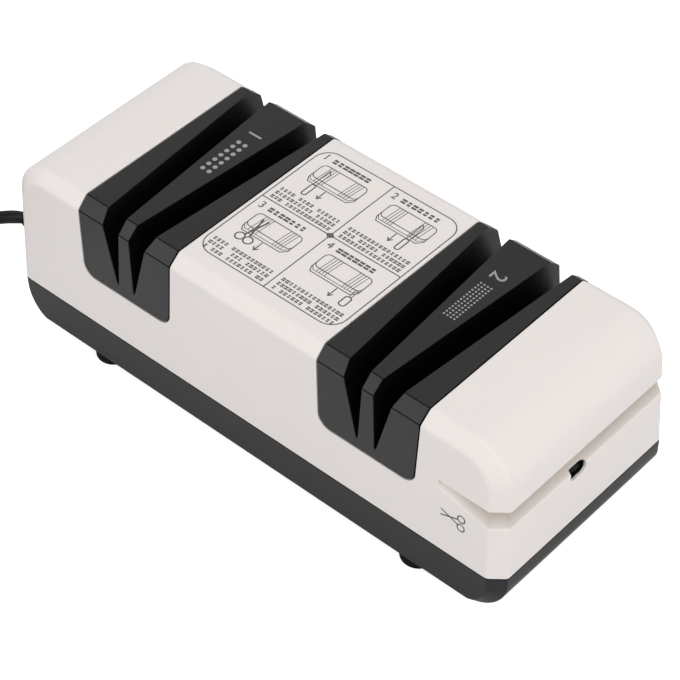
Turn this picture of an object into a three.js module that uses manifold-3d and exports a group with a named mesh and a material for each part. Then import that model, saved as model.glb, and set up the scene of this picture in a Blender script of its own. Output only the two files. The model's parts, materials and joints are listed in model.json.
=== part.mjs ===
// Electric knife sharpener: a long rounded housing with two V-slot guide inserts, in millimetres, +Z up.
// The origin is at the middle of the footprint, on the surface under the feet. +X is the end with the groove.

import * as THREE from 'three';
import { mergeVertices } from 'three/addons/utils/BufferGeometryUtils.js';
import Module from 'manifold-3d';

const wasm = await Module();
wasm.setup();

// Fits
const gap = 0.3;
const overrun = 3;
const bearingPlay = 0.1;

// Grinding wheels
const wheelRadius = 24;
const wheelWidth = 14;
const wheelBevel = 1;
const wheelClearRadius = wheelRadius + 1.2;
const wheelClearSide = 0.6;
const hubWall = 2;
const hubFlangeRadius = 8.3;
const hubFlangeWidth = 2;
const nutRadius = 5.4;
const nutWidth = 3.6;

// Motor
const coilWall = 7;
const coilHeight = 25.4;
const coilRoom = 4.3;
const statorWidth = 22;
const statorHeight = 44;
const statorFrontLeg = 6.5;
const statorBackLeg = 8;
const statorPoleWall = 5.5;
const statorBore = 13.5;
const statorFront = -statorBore - statorFrontLeg;
const windowDepth = 8;
const windowHeight = 28;
const windowFront = statorBore + statorPoleWall;
const windowBack = windowFront + windowDepth;
const statorBack = windowBack + statorBackLeg;
const airGap = 0.6;
const rotorRadius = statorBore - airGap;
const rotorLength = 26;
const bracketMiddle = 20.5;
const bracketPlate = 3;
const bracketBack = 18;
const bracketFoot = 8;
const boltRadius = 1.7;
const boltInset = 4;
const boltHeadRadius = 3.2;
const boltHeadHeight = 2;
const boltBoss = 3.6;
const bushWall = 1.6;
const bushLength = 7;
const fanWidth = 5.6;
const fanFromBush = 4;
const fanSideRoom = 0.47;
const fanRadius = 20;
const fanHubRadius = 6.5;
const fanBladeThickness = 1.4;
const fanBladeTurn = THREE.MathUtils.degToRad(26);
const fanMiddle = -bracketMiddle - bushLength / 2 - fanFromBush - fanWidth / 2;

// Slots: two in each guide insert, beside the wedge between them
const wedgeWidth = 11.66;
const slotWidth = 9.2;
const slotFloorWidth = 0.6;
const slotSkewShare = 0.0805;
const wedgeFlareShare = 0.053;
const slotLeanShare = 0.25;
const slotDepth = (slotWidth - slotFloorWidth) / (wedgeFlareShare + slotLeanShare);

// Body shells: as long as its guides and ends, as deep as its motor, and as high as its wheels and slots
const guideWidth = 44.86;
const guideBetween = 2 * (fanWidth / 2 + fanSideRoom - fanMiddle);
const guideSpacing = guideWidth + guideBetween;
const guideFromEnd = 59.3;
const standHeight = 5.1;
const shellWall = 2.4;
const wheelFloorRoom = 6.8;
const slotFromShaft = 11;
const jointFromShaft = 15.6;
const shaftHeight = standHeight + shellWall + wheelFloorRoom + wheelRadius;
const slotFloor = shaftHeight + slotFromShaft;
const jointLength = guideSpacing + 2 * guideFromEnd;
const jointDepth = 2 * (statorBack + gap + coilWall + coilRoom);
const jointHeight = shaftHeight - jointFromShaft;
const bodyHeight = slotFloor + slotDepth;
const housingLeanShare = 0.038;
const trayLeanShare = 0.02;
const housingRadius = 17;
const trayRadius = 13.5;
const edgeAcross = 4.4;
const edgeDepth = 4.7;
const traySoftEdge = 1.2;
const lipHeight = 2.5;
const lipWall = 1.2;

// Groove in the right end
const grooveFromShaft = 7.9;
const grooveHeight = 7.5;
const grooveTipDrop = 0.6;
const grooveLowerHeight = shaftHeight + grooveFromShaft;
const grooveUpperHeight = grooveLowerHeight + grooveHeight;
const grooveTipHeight = grooveUpperHeight - grooveTipDrop;
const grooveTipFromEnd = 27;
const grooveDepth = 5;
const grooveApex = 1.2;
const driverHoleWidth = 8.3;
const driverHoleHeight = 4.7;
const driverHoleFromShaft = 4;
const driverHoleFoot = shaftHeight + driverHoleFromShaft;
const driverHoleFromMiddle = 5.05;

// Guide inserts
const guideFromShaft = 6.5;
const guideFoot = shaftHeight + guideFromShaft;
const guideSideShare = 0.045;
const guideCorner = 5.5;
const guideSkin = 2.2;
const guideSideWall = 1.8;
const slotWall = 1.6;

// Feet and housing screws
const footFromEnd = 41.2;
const footFromFace = 8.2;
const footSpanX = jointLength - 2 * footFromEnd;
const footSpanY = jointDepth - 2 * footFromFace;
const footRadius = 6.8;
const footStem = 2.2;
const footHead = 3.3;
const footHeadHeight = 1.6;
const screwFromEnd = 14.6;
const screwFromFace = 13.6;
const screwSpanX = jointLength - 2 * screwFromEnd;
const screwSpanY = jointDepth - 2 * screwFromFace;
const screwRadius = 1.5;
const screwHeadRadius = 3;
const screwHeadHeight = 2;
const screwLength = 22;
const screwRecess = 5;
const postRadius = 4;
const trayBossRadius = 5.6;
const postFromJoint = 2.8;
const postFoot = jointHeight - postFromJoint;

// Shaft line
const shaftRadius = 3;

// Small wheel behind the groove
const endWheelRadius = 17;
const endWheelWidth = 8;
const endWheelFromEnd = 11.4;
const endWheelMiddle = jointLength / 2 - endWheelFromEnd;
const endWheelClear = 1;
const endFlangeRadius = 6.2;
const endNutRadius = 4.6;
const endNutWidth = 2.6;

// Bearing blocks, between the grinding wheels' nuts and the end wheel
const blockWidth = 4;
const blockDepth = 20;
const blockFootWidth = 10;
const blockFootHeight = 3;
const blockPlaceShare = 0.63;
const wheelSetEnd = guideSpacing / 2 + wheelWidth / 2 + gap + nutWidth;
const endSetStart = endWheelMiddle - endWheelWidth / 2 - gap - hubFlangeWidth;
const blockMiddle = wheelSetEnd + blockPlaceShare * (endSetStart - wheelSetEnd);
const shaftLeft = -blockMiddle - blockFootWidth / 2;
const shaftRight = endWheelMiddle + endWheelWidth / 2 + gap + endNutWidth;

// Vents in the tray's floor under the motor
const ventWidth = 3;
const ventLength = 44;
const ventPitch = 7;

// Rocker switch in a well in the left end
const switchY = 16;
const switchFromShaft = 5;
const switchHeight = shaftHeight + switchFromShaft;
const switchFlangeWidth = 15;
const switchFlangeHeight = 21;
const switchFlange = 1.8;
const switchBodyWidth = 12.8;
const switchBodyHeight = 18.6;
const switchBodyDepth = 11.8;
const switchRecess = 4.2;
const rockerWidth = 9.4;
const rockerHeight = 14.4;
const rockerPivotDepth = 2;
const rockerProud = 0.6;
const rockerDepth = 5;
const rockerTilt = THREE.MathUtils.degToRad(9);
const rockerWell = 9;
const terminalWidth = 4.8;
const terminalThickness = 0.8;
const terminalLength = 7;
const terminalSpacing = 9;

// Cord inlet
const inletY = -20;
const cordWidth = 5.4;
const cordThickness = 3.2;
const neckWidth = 9.4;
const neckHeight = 7.4;
const collarWidth = 12;
const collarHeight = 9.6;
const collarLength = 1.8;
const reliefTipWidth = 7.6;
const reliefTipHeight = 5.2;
const innerFlangeLength = 2;
const tailLength = 14;
const clampFromEnd = 15.1;
const clampMiddle = clampFromEnd - jointLength / 2;
const clampLength = 5;
const clampWidth = 17;
const clampBar = 2.6;
const clampScrewSpan = 11.4;
const clampScrewRadius = 1.2;
const clampScrewHead = 2.2;
const clampScrewLength = 9;

// Leads inside the housing
const leadRadius = 1.1;

// Cord, its coil, its tie and the plug
const coilTurnsPerLayer = 2.5;
const coilMeanDiameter = 64.8;
const coilTurnGap = 0.6;
const coilClimbDip = 1.9;
const coilLeadIn = 28;
const coilLeadOut = 16;
const tieThickness = 0.5;
const tieWidth = 5;
const plugWidth = 24;
const plugLength = 26;
const plugNeck = 11;
const plugSoftEdge = 3.25;
const neckFlareShare = 4 / 3;
const plugBackWidthShare = 2 / 3;
const plugBackHeightShare = 3 / 4;
const plugEdgeShare = 11 / 12;
const bladeWidth = 6.3;
const bladeThickness = 1.5;
const bladeLength = 17;
const bladeSpacing = 12.7;

// Steps round curves
const arcSteps = 8;
const roundSides = 24;
const smallSides = 16;
const wheelSides = 40;
const loopSteps = 24;
const leadSteps = 8;

// The free cord's route from the relief to the coil, along its middle.
const cordRoute = [
  [-138.9, -20, 16.8],
  [-141.4, -20, 15.85],
  [-143.9, -20, 14.75],
  [-146.4, -20, 13.5],
  [-148.9, -20, 12.1],
  [-151.4, -20, 10.55],
  [-153.9, -20, 8.95],
  [-156.4, -20, 7.35],
  [-158.9, -20, 5.85],
  [-161.4, -20, 4.5],
  [-163.9, -20, 3.35],
  [-166.4, -20, 2.5],
  [-168.9, -20, 1.95],
  [-172.4, -20, 1.65],
  [-176, -20, 1.6],
];

// The routes of the leads, from the cord's tail and the switch to the motor's coil.
// Near the left end they are measured from it, and near the motor from the middle.
const liveRoute = {
  fromEnd: [
    [19.3, -18.6, 21.4],
    [21.4, -18.4, 21.6],
    [23, -16.4, 23],
    [23.3, -10, 26.5],
    [23.2, -1, 28.4],
    [24.2, 9, 31.5],
    [26.8, 14, 35],
    [27.6, 15.8, 36.4],
    [26, 16.1, 36.7],
    [24.1, 16, 36.6],
  ],
  fromMiddle: [],
};
const neutralRoute = {
  fromEnd: [
    [19.3, -21.4, 21.4],
    [21.3, -21.5, 21.2],
    [22.4, -21, 18],
    [21.6, -17, 13.5],
    [21, -8, 11.6],
    [21, 6, 11.5],
    [22, 18, 11.6],
    [28.6, 30, 12],
  ],
  fromMiddle: [
    [-70, 36.2, 12.4],
    [-45, 36.4, 12.4],
    [-28, 36.3, 16],
    [-22.6, 36.2, 26],
    [-19.7, 36.2, 31],
  ],
};
const switchedRoute = {
  fromEnd: [
    [24.1, 16, 45.6],
    [26, 16.1, 45.6],
    [28.4, 19, 45.4],
    [30, 26, 43],
    [31.6, 34, 36],
    [34.6, 38.6, 26],
  ],
  fromMiddle: [
    [-73, 39.7, 18],
    [-60, 39.8, 15.6],
    [-40, 39.8, 17],
    [-28, 39.6, 25],
    [-22.4, 39.4, 38],
    [-19.7, 39.4, 42],
  ],
};

// Joining and cutting

function solid(geometry) {
  const bare = geometry.clone();
  bare.deleteAttribute('normal');
  bare.deleteAttribute('uv');
  const merged = mergeVertices(bare);
  const triVerts = new Uint32Array(merged.index.array);
  const vertProperties = new Float32Array(merged.attributes.position.array);
  if (signedVolume(vertProperties, triVerts) < 0) {
    triVerts.reverse();
  }
  return new wasm.Manifold(new wasm.Mesh({ numProp: 3, vertProperties, triVerts }));
}

function signedVolume(points, triangles) {
  const corner = (index) => new THREE.Vector3().fromArray(points, index * 3);
  let sum = 0;
  for (let first = 0; first < triangles.length; first += 3) {
    const second = corner(triangles[first + 1]).cross(corner(triangles[first + 2]));
    sum += corner(triangles[first]).dot(second);
  }
  return sum;
}

function geometryOf(shape) {
  const mesh = shape.getMesh();
  const geometry = new THREE.BufferGeometry();
  geometry.setAttribute('position', new THREE.BufferAttribute(new Float32Array(mesh.vertProperties), 3));
  geometry.setIndex(new THREE.BufferAttribute(new Uint32Array(mesh.triVerts), 1));
  geometry.computeVertexNormals();
  return geometry;
}

function joined(shapes) {
  return shapes.reduce((whole, shape) => whole.add(shape));
}

function cut(shape, cutters) {
  return cutters.reduce((left, cutter) => left.subtract(cutter), shape);
}

// Basic forms

function boxBetween([x0, y0, z0], [x1, y1, z1]) {
  const box = new THREE.BoxGeometry(x1 - x0, y1 - y0, z1 - z0);
  return box.translate((x0 + x1) / 2, (y0 + y1) / 2, (z0 + z1) / 2);
}

function turned(profile, sides) {
  return new THREE.LatheGeometry(profile.map(([radius, along]) => new THREE.Vector2(radius, along)), sides);
}

function turnedAlongX(profile, sides) {
  return turned(profile, sides).rotateZ(-Math.PI / 2);
}

function turnedAlongZ(profile, sides) {
  return turned(profile, sides).rotateX(Math.PI / 2);
}

function rodProfile(radius, from, to) {
  return [[0, from], [radius, from], [radius, to], [0, to]];
}

function sleeveProfile(inner, outer, from, to) {
  return [[inner, from], [outer, from], [outer, to], [inner, to], [inner, from]];
}

function onShaft(geometry) {
  return solid(geometry.translate(0, 0, shaftHeight));
}

function outlineOf(points) {
  return new THREE.Shape(points.map(([across, up]) => new THREE.Vector2(across, up)));
}

function plateAcrossY(shape, halfDepth, curveSegments = arcSteps) {
  const plate = new THREE.ExtrudeGeometry(shape, { depth: 2 * halfDepth, bevelEnabled: false, curveSegments });
  return plate.rotateX(Math.PI / 2).translate(0, halfDepth, 0);
}

function plateAcrossX(shape, from, to, curveSegments = arcSteps) {
  const plate = new THREE.ExtrudeGeometry(shape, { depth: to - from, bevelEnabled: false, curveSegments });
  const across = new THREE.Vector3(0, 1, 0);
  const up = new THREE.Vector3(0, 0, 1);
  const along = new THREE.Vector3(1, 0, 0);
  return plate.applyMatrix4(new THREE.Matrix4().makeBasis(across, up, along)).translate(from, 0, 0);
}

// A closed skin through rings of equally many points; both end rings are convex and get a flat cap.
function loft(rings) {
  const count = rings[0].length;
  const index = [];
  for (let ring = 0; ring + 1 < rings.length; ring += 1) {
    for (let point = 0; point < count; point += 1) {
      const near = ring * count + point;
      const next = ring * count + (point + 1) % count;
      index.push(near, near + count, next + count, near, next + count, next);
    }
  }
  const last = (rings.length - 1) * count;
  for (let point = 1; point + 1 < count; point += 1) {
    index.push(0, point, point + 1, last, last + point + 1, last + point);
  }
  const geometry = new THREE.BufferGeometry().setFromPoints(rings.flat());
  geometry.setIndex(index);
  return geometry;
}

// A tube of any section: each station has a centre, a side and an up direction and two half sizes.
function sectionTube(stations, sectionShares) {
  return loft(stations.map(({ centre, side, up, halfSide, halfUp }) => sectionShares.map(
    ([sideShare, upShare]) => centre.clone()
      .addScaledVector(side, halfSide * sideShare)
      .addScaledVector(up, halfUp * upShare),
  )));
}

function softSquareShares(points) {
  const shares = [];
  for (let point = 0; point < points; point += 1) {
    const angle = 2 * Math.PI * (point + 1 / 2) / points;
    const bulge = (value) => Math.sign(value) * Math.sqrt(Math.abs(value));
    shares.push([bulge(Math.cos(angle)), bulge(Math.sin(angle))]);
  }
  return shares;
}

const flatHexShares = [[1, 0], [0.56, 1], [-0.56, 1], [-1, 0], [-0.56, -1], [0.56, -1]];

function smooth(share) {
  return share * share * (3 - 2 * share);
}

// Materials

function plastic(color, roughness) {
  return new THREE.MeshStandardMaterial({ color, roughness, metalness: 0 });
}

function metal(color, roughness) {
  return new THREE.MeshStandardMaterial({ color, roughness, metalness: 1 });
}

const whitePlastic = () => plastic('#e4e0db', 0.42);
const greyPlastic = () => plastic('#3b3b3c', 0.5);
const blackPlastic = () => plastic('#1b1b1c', 0.45);
const rubber = () => plastic('#242424', 0.85);
const cordVinyl = () => plastic('#2b2b2c', 0.55);
const abrasive = () => plastic('#4a4744', 0.95);
const steel = () => metal('#b4b6b8', 0.35);
const bronze = () => metal('#a9793f', 0.4);
const laminations = () => metal('#6f7276', 0.5);
const copper = () => metal('#b3622c', 0.45);

const sharpener = new THREE.Group();

function addPiece(name, geometry, material, parent = sharpener, place = [0, 0, 0]) {
  const mesh = new THREE.Mesh(geometry, material);
  mesh.name = name;
  mesh.position.set(...place);
  parent.add(mesh);
  return mesh;
}

function addSolid(name, shape, material, parent = sharpener, place = [0, 0, 0]) {
  return addPiece(name, geometryOf(shape), material, parent, place);
}

// The body's form: one outline seen from the front, carried from front to back with a chamfer at both faces.

const housingForm = {
  halfLength: jointLength / 2,
  halfDepth: jointDepth / 2,
  leanShare: housingLeanShare,
  radius: housingRadius,
  openZ: jointHeight + gap / 2,
  flatZ: bodyHeight,
  flatEdgeAcross: edgeAcross,
  flatEdgeDepth: edgeDepth,
};

const trayForm = {
  halfLength: jointLength / 2,
  halfDepth: jointDepth / 2,
  leanShare: trayLeanShare,
  radius: trayRadius,
  openZ: jointHeight - gap / 2,
  flatZ: standHeight,
  flatEdgeAcross: traySoftEdge,
  flatEdgeDepth: traySoftEdge,
};

function riseAt(form, height) {
  return Math.sign(form.flatZ - form.openZ) * (height - jointHeight);
}

function endAt(form, height) {
  return form.halfLength - form.leanShare * riseAt(form, height);
}

function faceAt(form, height) {
  return form.halfDepth - form.leanShare * riseAt(form, height);
}

function thinned(form, wall, openZ = form.openZ) {
  const slope = Math.hypot(1, form.leanShare);
  const up = Math.sign(form.flatZ - form.openZ);
  return {
    ...form,
    halfLength: form.halfLength - wall * slope,
    halfDepth: form.halfDepth - wall * slope,
    radius: form.radius - wall,
    flatZ: form.flatZ - up * wall,
    openZ,
  };
}

// Points of the outline's right side, from the open edge to the flat, each with its share of the end edge.
function rightSide(form, drawnIn) {
  const slope = Math.hypot(1, form.leanShare);
  const up = Math.sign(form.flatZ - form.openZ);
  const across = drawnIn ? edgeAcross : 0;
  const along = drawnIn ? form.flatEdgeAcross : 0;
  const centreZ = form.flatZ - up * form.radius;
  const centreX = endAt(form, centreZ) - form.radius * slope;
  const first = Math.atan(form.leanShare);
  const points = [[endAt(form, form.openZ) - across * slope, form.openZ, 1]];
  for (let step = 0; step <= arcSteps; step += 1) {
    const angle = first + (Math.PI / 2 - first) * step / arcSteps;
    const x = centreX + (form.radius - across) * Math.cos(angle);
    const z = centreZ + up * (form.radius - along) * Math.sin(angle);
    points.push([x, z, 1 - step / arcSteps]);
  }
  return points;
}

function bodyRing(form, side, drawnIn) {
  const right = rightSide(form, drawnIn);
  const left = right.map(([x, z, endShare]) => [-x, z, endShare]).reverse();
  return [...right, ...left].map(([x, z, endShare]) => {
    const edge = form.flatEdgeDepth + (edgeDepth - form.flatEdgeDepth) * endShare;
    return new THREE.Vector3(x, side * (faceAt(form, z) - (drawnIn ? 0 : edge)), z);
  });
}

function bodySolid(form) {
  return solid(loft([
    bodyRing(form, -1, true),
    bodyRing(form, -1, false),
    bodyRing(form, 1, false),
    bodyRing(form, 1, true),
  ]));
}

// The groove: stations from its point on the front face, round the right end, to its point on the back face.

function grooveStations(grow) {
  const slope = Math.hypot(edgeAcross, edgeDepth);
  const chamferIn = new THREE.Vector2(-edgeDepth / slope, edgeAcross / slope);
  const faceIn = new THREE.Vector2(0, 1);
  const endIn = new THREE.Vector2(-1, 0);
  const tipX = jointLength / 2 - grooveTipFromEnd;
  const front = [
    { x: () => tipX - 2 * grow, edge: 0, inward: faceIn, depth: 0, high: grooveTipHeight, low: grooveTipHeight },
    { x: (z) => endAt(housingForm, z) - edgeAcross, edge: 0, inward: mitre(faceIn, chamferIn) },
    { x: (z) => endAt(housingForm, z), edge: edgeDepth, inward: mitre(chamferIn, endIn) },
  ];
  return front.map((station) => ({
    depth: grooveDepth, high: grooveUpperHeight, low: grooveLowerHeight, ...station,
  }));
}

function mitre(first, second) {
  const middle = first.clone().add(second).normalize();
  return middle.divideScalar(middle.dot(first));
}

function grooveRing({ x, edge, inward, depth, high, low }, grow, side) {
  const slopeShare = (grooveUpperHeight - grooveApex - grooveLowerHeight) / grooveDepth;
  const at = (height, inside) => new THREE.Vector3(
    x(height) + inward.x * inside,
    side * (faceAt(housingForm, height) - edge - inward.y * inside),
    height,
  );
  const apex = low + slopeShare * depth - grow;
  const outerLow = at(low - grow, -overrun);
  outerLow.z -= slopeShare * overrun;
  const innerLow = at(high + grow, depth + grow);
  innerLow.z = apex;
  return [outerLow, innerLow, at(high + grow, depth + grow), at(high + grow, -overrun)];
}

function grooveCutter(grow) {
  const stations = grooveStations(grow);
  const front = stations.map((station) => grooveRing(station, grow, -1));
  const back = stations.map((station) => grooveRing(station, grow, 1)).reverse();
  return solid(loft([...front, ...back]));
}

// Guide inserts: the body's own form inside a leaning prism, hollow, with two V-slots.

function guidePrism(grow, foot, corner) {
  const top = bodyHeight + overrun;
  const half = (height) => guideWidth / 2 + grow - guideSideShare * (bodyHeight - height);
  const low = foot - grow;
  const turn = low + corner;
  const shape = new THREE.Shape();
  shape.moveTo(-half(top), top);
  shape.lineTo(-half(turn), turn);
  shape.absarc(corner - half(turn), turn, corner, Math.PI, 3 * Math.PI / 2);
  shape.lineTo(half(turn) - corner, low);
  shape.absarc(half(turn) - corner, turn, corner, -Math.PI / 2, 0);
  shape.lineTo(half(top), top);
  return plateAcrossY(shape, jointDepth, arcSteps / 2);
}

// One slot's wedge-side and outer-side distance from the guide's middle at a place.
function slotSides(y, height) {
  const down = bodyHeight - height;
  const wedge = wedgeWidth / 2 + slotSkewShare * y + wedgeFlareShare * down;
  const outer = wedgeWidth / 2 + slotWidth + slotSkewShare * y - slotLeanShare * down;
  return [wedge, outer];
}

function slotCutter(side, wall) {
  const ring = (y) => {
    const [lowWedge, lowOuter] = slotSides(y, slotFloor);
    const [topWedge, topOuter] = slotSides(y, bodyHeight + overrun);
    return [
      new THREE.Vector3(side * (lowWedge - wall), y, slotFloor - wall),
      new THREE.Vector3(side * (lowOuter + wall), y, slotFloor - wall),
      new THREE.Vector3(side * (topOuter + wall), y, bodyHeight + overrun),
      new THREE.Vector3(side * (topWedge - wall), y, bodyHeight + overrun),
    ];
  };
  return loft([ring(-jointDepth / 2 - overrun), ring(jointDepth / 2 + overrun)]);
}

// Room in a guide for its wheel, the wheel's hub and nut, and the shaft
function wheelClearances() {
  const half = wheelWidth / 2 + wheelClearSide;
  const hubFrom = -half - gap - hubFlangeWidth;
  const nutTo = half + gap + nutWidth;
  return [
    rodProfile(wheelClearRadius, -half, half),
    rodProfile(hubFlangeRadius + wheelClearSide, hubFrom, nutTo),
    rodProfile(shaftRadius + wheelClearSide, -guideWidth, guideWidth),
  ].map((profile) => onShaft(turnedAlongX(profile, roundSides)));
}

function guideSolid() {
  const outer = bodySolid(housingForm).intersect(solid(guidePrism(0, guideFoot, guideCorner)));
  const inside = bodySolid(thinned(housingForm, guideSkin)).intersect(
    solid(guidePrism(-guideSideWall, guideFoot - shellWall - overrun, guideSideWall)),
  );
  const slotWalls = joined([-1, 1].map((side) => solid(slotCutter(side, slotWall)))).intersect(outer);
  const slots = [-1, 1].map((side) => solid(slotCutter(side, 0)));
  return cut(outer.subtract(inside).add(slotWalls), [...slots, ...wheelClearances()]);
}

function addGuides() {
  const shape = guideSolid();
  addSolid('coarse_guide', shape, greyPlastic(), sharpener, [-guideSpacing / 2, 0, 0]);
  addSolid('fine_guide', shape, greyPlastic(), sharpener, [guideSpacing / 2, 0, 0]);
}

// Four places mirrored about the middle

function fourPlaces(spanX, spanY) {
  return [[-1, -1], [1, -1], [-1, 1], [1, 1]].map(([x, y]) => [x * spanX / 2, y * spanY / 2]);
}

function rodsUp(places, radius, from, to, sides = smallSides) {
  return places.map(([x, y]) => solid(
    turnedAlongZ(rodProfile(radius, from, to), sides).translate(x, y, 0),
  ));
}

// The rocker switch's own frame: its flange's back is at 0, just off the floor of its well in the left wall.
// -X points outwards and leans with the wall.

function switchFrame() {
  const lean = Math.atan(housingLeanShare);
  const wallX = -endAt(housingForm, switchHeight);
  return new THREE.Matrix4().makeRotationY(lean).setPosition(wallX + switchRecess - gap, switchY, switchHeight);
}

function switchBox(from, to, width, height) {
  const box = boxBetween([from, -width / 2, -height / 2], [to, width / 2, height / 2]);
  return solid(box.applyMatrix4(switchFrame()));
}

function switchWell() {
  const round = 2 * (gap + shellWall);
  return switchBox(-switchRecess, gap + shellWall, switchFlangeWidth + round, switchFlangeHeight + round);
}

function switchHoles() {
  const round = 2 * gap;
  return [
    switchBox(-switchRecess - overrun, gap, switchFlangeWidth + round, switchFlangeHeight + round),
    switchBox(0, shellWall + overrun, switchBodyWidth + round, switchBodyHeight + round),
  ];
}

// The notch for the strain relief's neck, with room for its inner flange behind the wall.
function inletNotches() {
  const wallX = -jointLength / 2;
  const neck = boxBetween(
    [wallX - overrun, inletY - neckWidth / 2 - gap, jointHeight - neckHeight / 2 - gap],
    [wallX + 2 * overrun, inletY + neckWidth / 2 + gap, jointHeight + neckHeight / 2 + gap],
  );
  const flange = boxBetween(
    [wallX + shellWall, inletY - collarWidth / 2 - gap, jointHeight - collarHeight / 2 - gap],
    [wallX + shellWall + 2 * overrun, inletY + collarWidth / 2 + gap, jointHeight + collarHeight / 2 + gap],
  );
  return [solid(neck), solid(flange)];
}

// Upper housing

function driverHole() {
  const endX = endAt(housingForm, driverHoleFoot);
  return solid(boxBetween(
    [endX - shellWall - overrun, -driverHoleFromMiddle - driverHoleWidth / 2, driverHoleFoot],
    [endX + overrun, -driverHoleFromMiddle + driverHoleWidth / 2, driverHoleFoot + driverHoleHeight],
  ));
}

function endWheelPocket() {
  const left = endWheelMiddle - endWheelWidth / 2 - endWheelClear;
  const right = endAt(housingForm, grooveTipHeight) - grooveDepth + endWheelClear;
  return onShaft(turnedAlongX(rodProfile(endWheelRadius + endWheelClear, left, right), roundSides));
}

function addUpperHousing() {
  const outer = bodySolid(housingForm);
  const cavity = bodySolid(thinned(housingForm, shellWall, jointHeight - overrun));
  const hollow = cavity.subtract(grooveCutter(shellWall));
  const places = fourPlaces(screwSpanX, screwSpanY);
  const posts = joined(rodsUp(places, postRadius, postFoot, bodyHeight)).intersect(
    bodySolid(thinned(housingForm, shellWall / 2, jointHeight - overrun)),
  );
  const bores = rodsUp(places, screwRadius + gap, postFoot - overrun, postFoot + screwLength);
  const windows = [-1, 1].map((side) => solid(
    guidePrism(gap, guideFoot, guideCorner).translate(side * guideSpacing / 2, 0, 0),
  ));
  const well = switchWell().intersect(outer);
  const shell = joined([outer.subtract(hollow), posts, well]);
  const cutters = [...windows, ...bores, grooveCutter(0), driverHole(), endWheelPocket(), ...switchHoles()];
  addSolid('upper_housing', cut(shell, [...cutters, ...inletNotches()]), whitePlastic());
}

// Base tray

function lipBand(outerWall, from, to) {
  const outside = bodySolid(thinned(housingForm, outerWall, jointHeight - overrun));
  const inside = bodySolid(thinned(housingForm, shellWall + gap + lipWall, jointHeight - 2 * overrun));
  const band = solid(boxBetween([-jointLength, -jointDepth, from], [jointLength, jointDepth, to]));
  return outside.subtract(inside).intersect(band);
}

// The lip stands inside the housing's edge, on a root in the tray's own wall.
function trayLip() {
  const foot = jointHeight - shellWall;
  const lip = lipBand(shellWall + gap, foot, jointHeight + lipHeight);
  return lip.add(lipBand(shellWall / 2, foot, jointHeight - gap));
}

function ventCutters() {
  const count = Math.floor((bracketMiddle * 2 - 2 * bracketPlate) / ventPitch);
  const vents = [];
  for (let vent = 0; vent < count; vent += 1) {
    const middle = (vent - (count - 1) / 2) * ventPitch;
    vents.push(solid(boxBetween(
      [middle - ventWidth / 2, -ventLength / 2, standHeight - overrun],
      [middle + ventWidth / 2, ventLength / 2, standHeight + shellWall + overrun],
    )));
  }
  return vents;
}

function clampSeat() {
  return solid(boxBetween(
    [clampMiddle - clampLength / 2, inletY - clampWidth / 2, standHeight + shellWall / 2],
    [clampMiddle + clampLength / 2, inletY + clampWidth / 2, jointHeight - cordThickness / 2 - gap],
  ));
}

function clampScrewPlaces() {
  return [-1, 1].map((side) => [clampMiddle, inletY + side * clampScrewSpan / 2]);
}

function addBaseTray() {
  const outer = bodySolid(trayForm);
  const cavity = bodySolid(thinned(trayForm, shellWall, jointHeight + overrun));
  const places = fourPlaces(screwSpanX, screwSpanY);
  const bosses = joined(rodsUp(places, trayBossRadius, standHeight, postFoot - gap)).intersect(
    bodySolid(thinned(trayForm, shellWall / 2)),
  );
  const seat = clampSeat();
  const recess = rodsUp(places, screwHeadRadius + gap, 0, standHeight + screwRecess);
  const holes = rodsUp(places, screwRadius + gap, 0, postFoot);
  const feet = rodsUp(fourPlaces(footSpanX, footSpanY), footStem + gap, 0, standHeight + shellWall + overrun);
  const clampHoles = rodsUp(
    clampScrewPlaces(), clampScrewRadius + gap, jointHeight - clampScrewLength, jointHeight, arcSteps,
  );
  const shell = joined([outer.subtract(cavity), bosses, seat, trayLip()]);
  const cutters = [...recess, ...holes, ...feet, ...clampHoles, ...ventCutters(), ...inletNotches()];
  addSolid('base_tray', cut(shell, cutters), greyPlastic());
}

// Feet pushed through the tray's floor, and the screws that close the body from below

function footSolid() {
  const under = standHeight - gap;
  const above = standHeight + shellWall + gap;
  return solid(turnedAlongZ([
    [0, 0],
    [footRadius - footHeadHeight / 2, 0],
    [footRadius, footHeadHeight / 2],
    [footRadius, under],
    [footStem, under],
    [footStem, above],
    [footHead, above],
    [footStem, above + footHeadHeight],
    [0, above + footHeadHeight],
  ], smallSides));
}

function addFeet() {
  const names = ['foot_front_left', 'foot_front_right', 'foot_back_left', 'foot_back_right'];
  const shape = footSolid();
  fourPlaces(footSpanX, footSpanY).forEach(([x, y], index) => {
    addSolid(names[index], shape, rubber(), sharpener, [x, y, 0]);
  });
}

function screwSolid(radius, headRadius, headHeight, length) {
  return solid(turnedAlongZ([
    [0, -headHeight],
    [headRadius, -headHeight],
    [headRadius, 0],
    [radius, 0],
    [radius, length - radius],
    [0, length],
  ], arcSteps + arcSteps / 2));
}

function addHousingScrews() {
  const shape = screwSolid(screwRadius, screwHeadRadius, screwHeadHeight, screwLength);
  const seat = standHeight + screwRecess - gap;
  fourPlaces(screwSpanX, screwSpanY).forEach(([x, y], index) => {
    addSolid(`housing_screw_${index + 1}`, shape, steel(), sharpener, [x, y, seat]);
  });
}

// Shaft, wheels, hubs and nuts: everything that turns with the motor

function addShaft() {
  const bevel = shaftRadius / 4;
  addSolid('main_shaft', onShaft(turnedAlongX([
    [0, shaftLeft],
    [shaftRadius - bevel, shaftLeft],
    [shaftRadius, shaftLeft + bevel],
    [shaftRadius, shaftRight - bevel],
    [shaftRadius - bevel, shaftRight],
    [0, shaftRight],
  ], smallSides)), steel());
}

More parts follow.
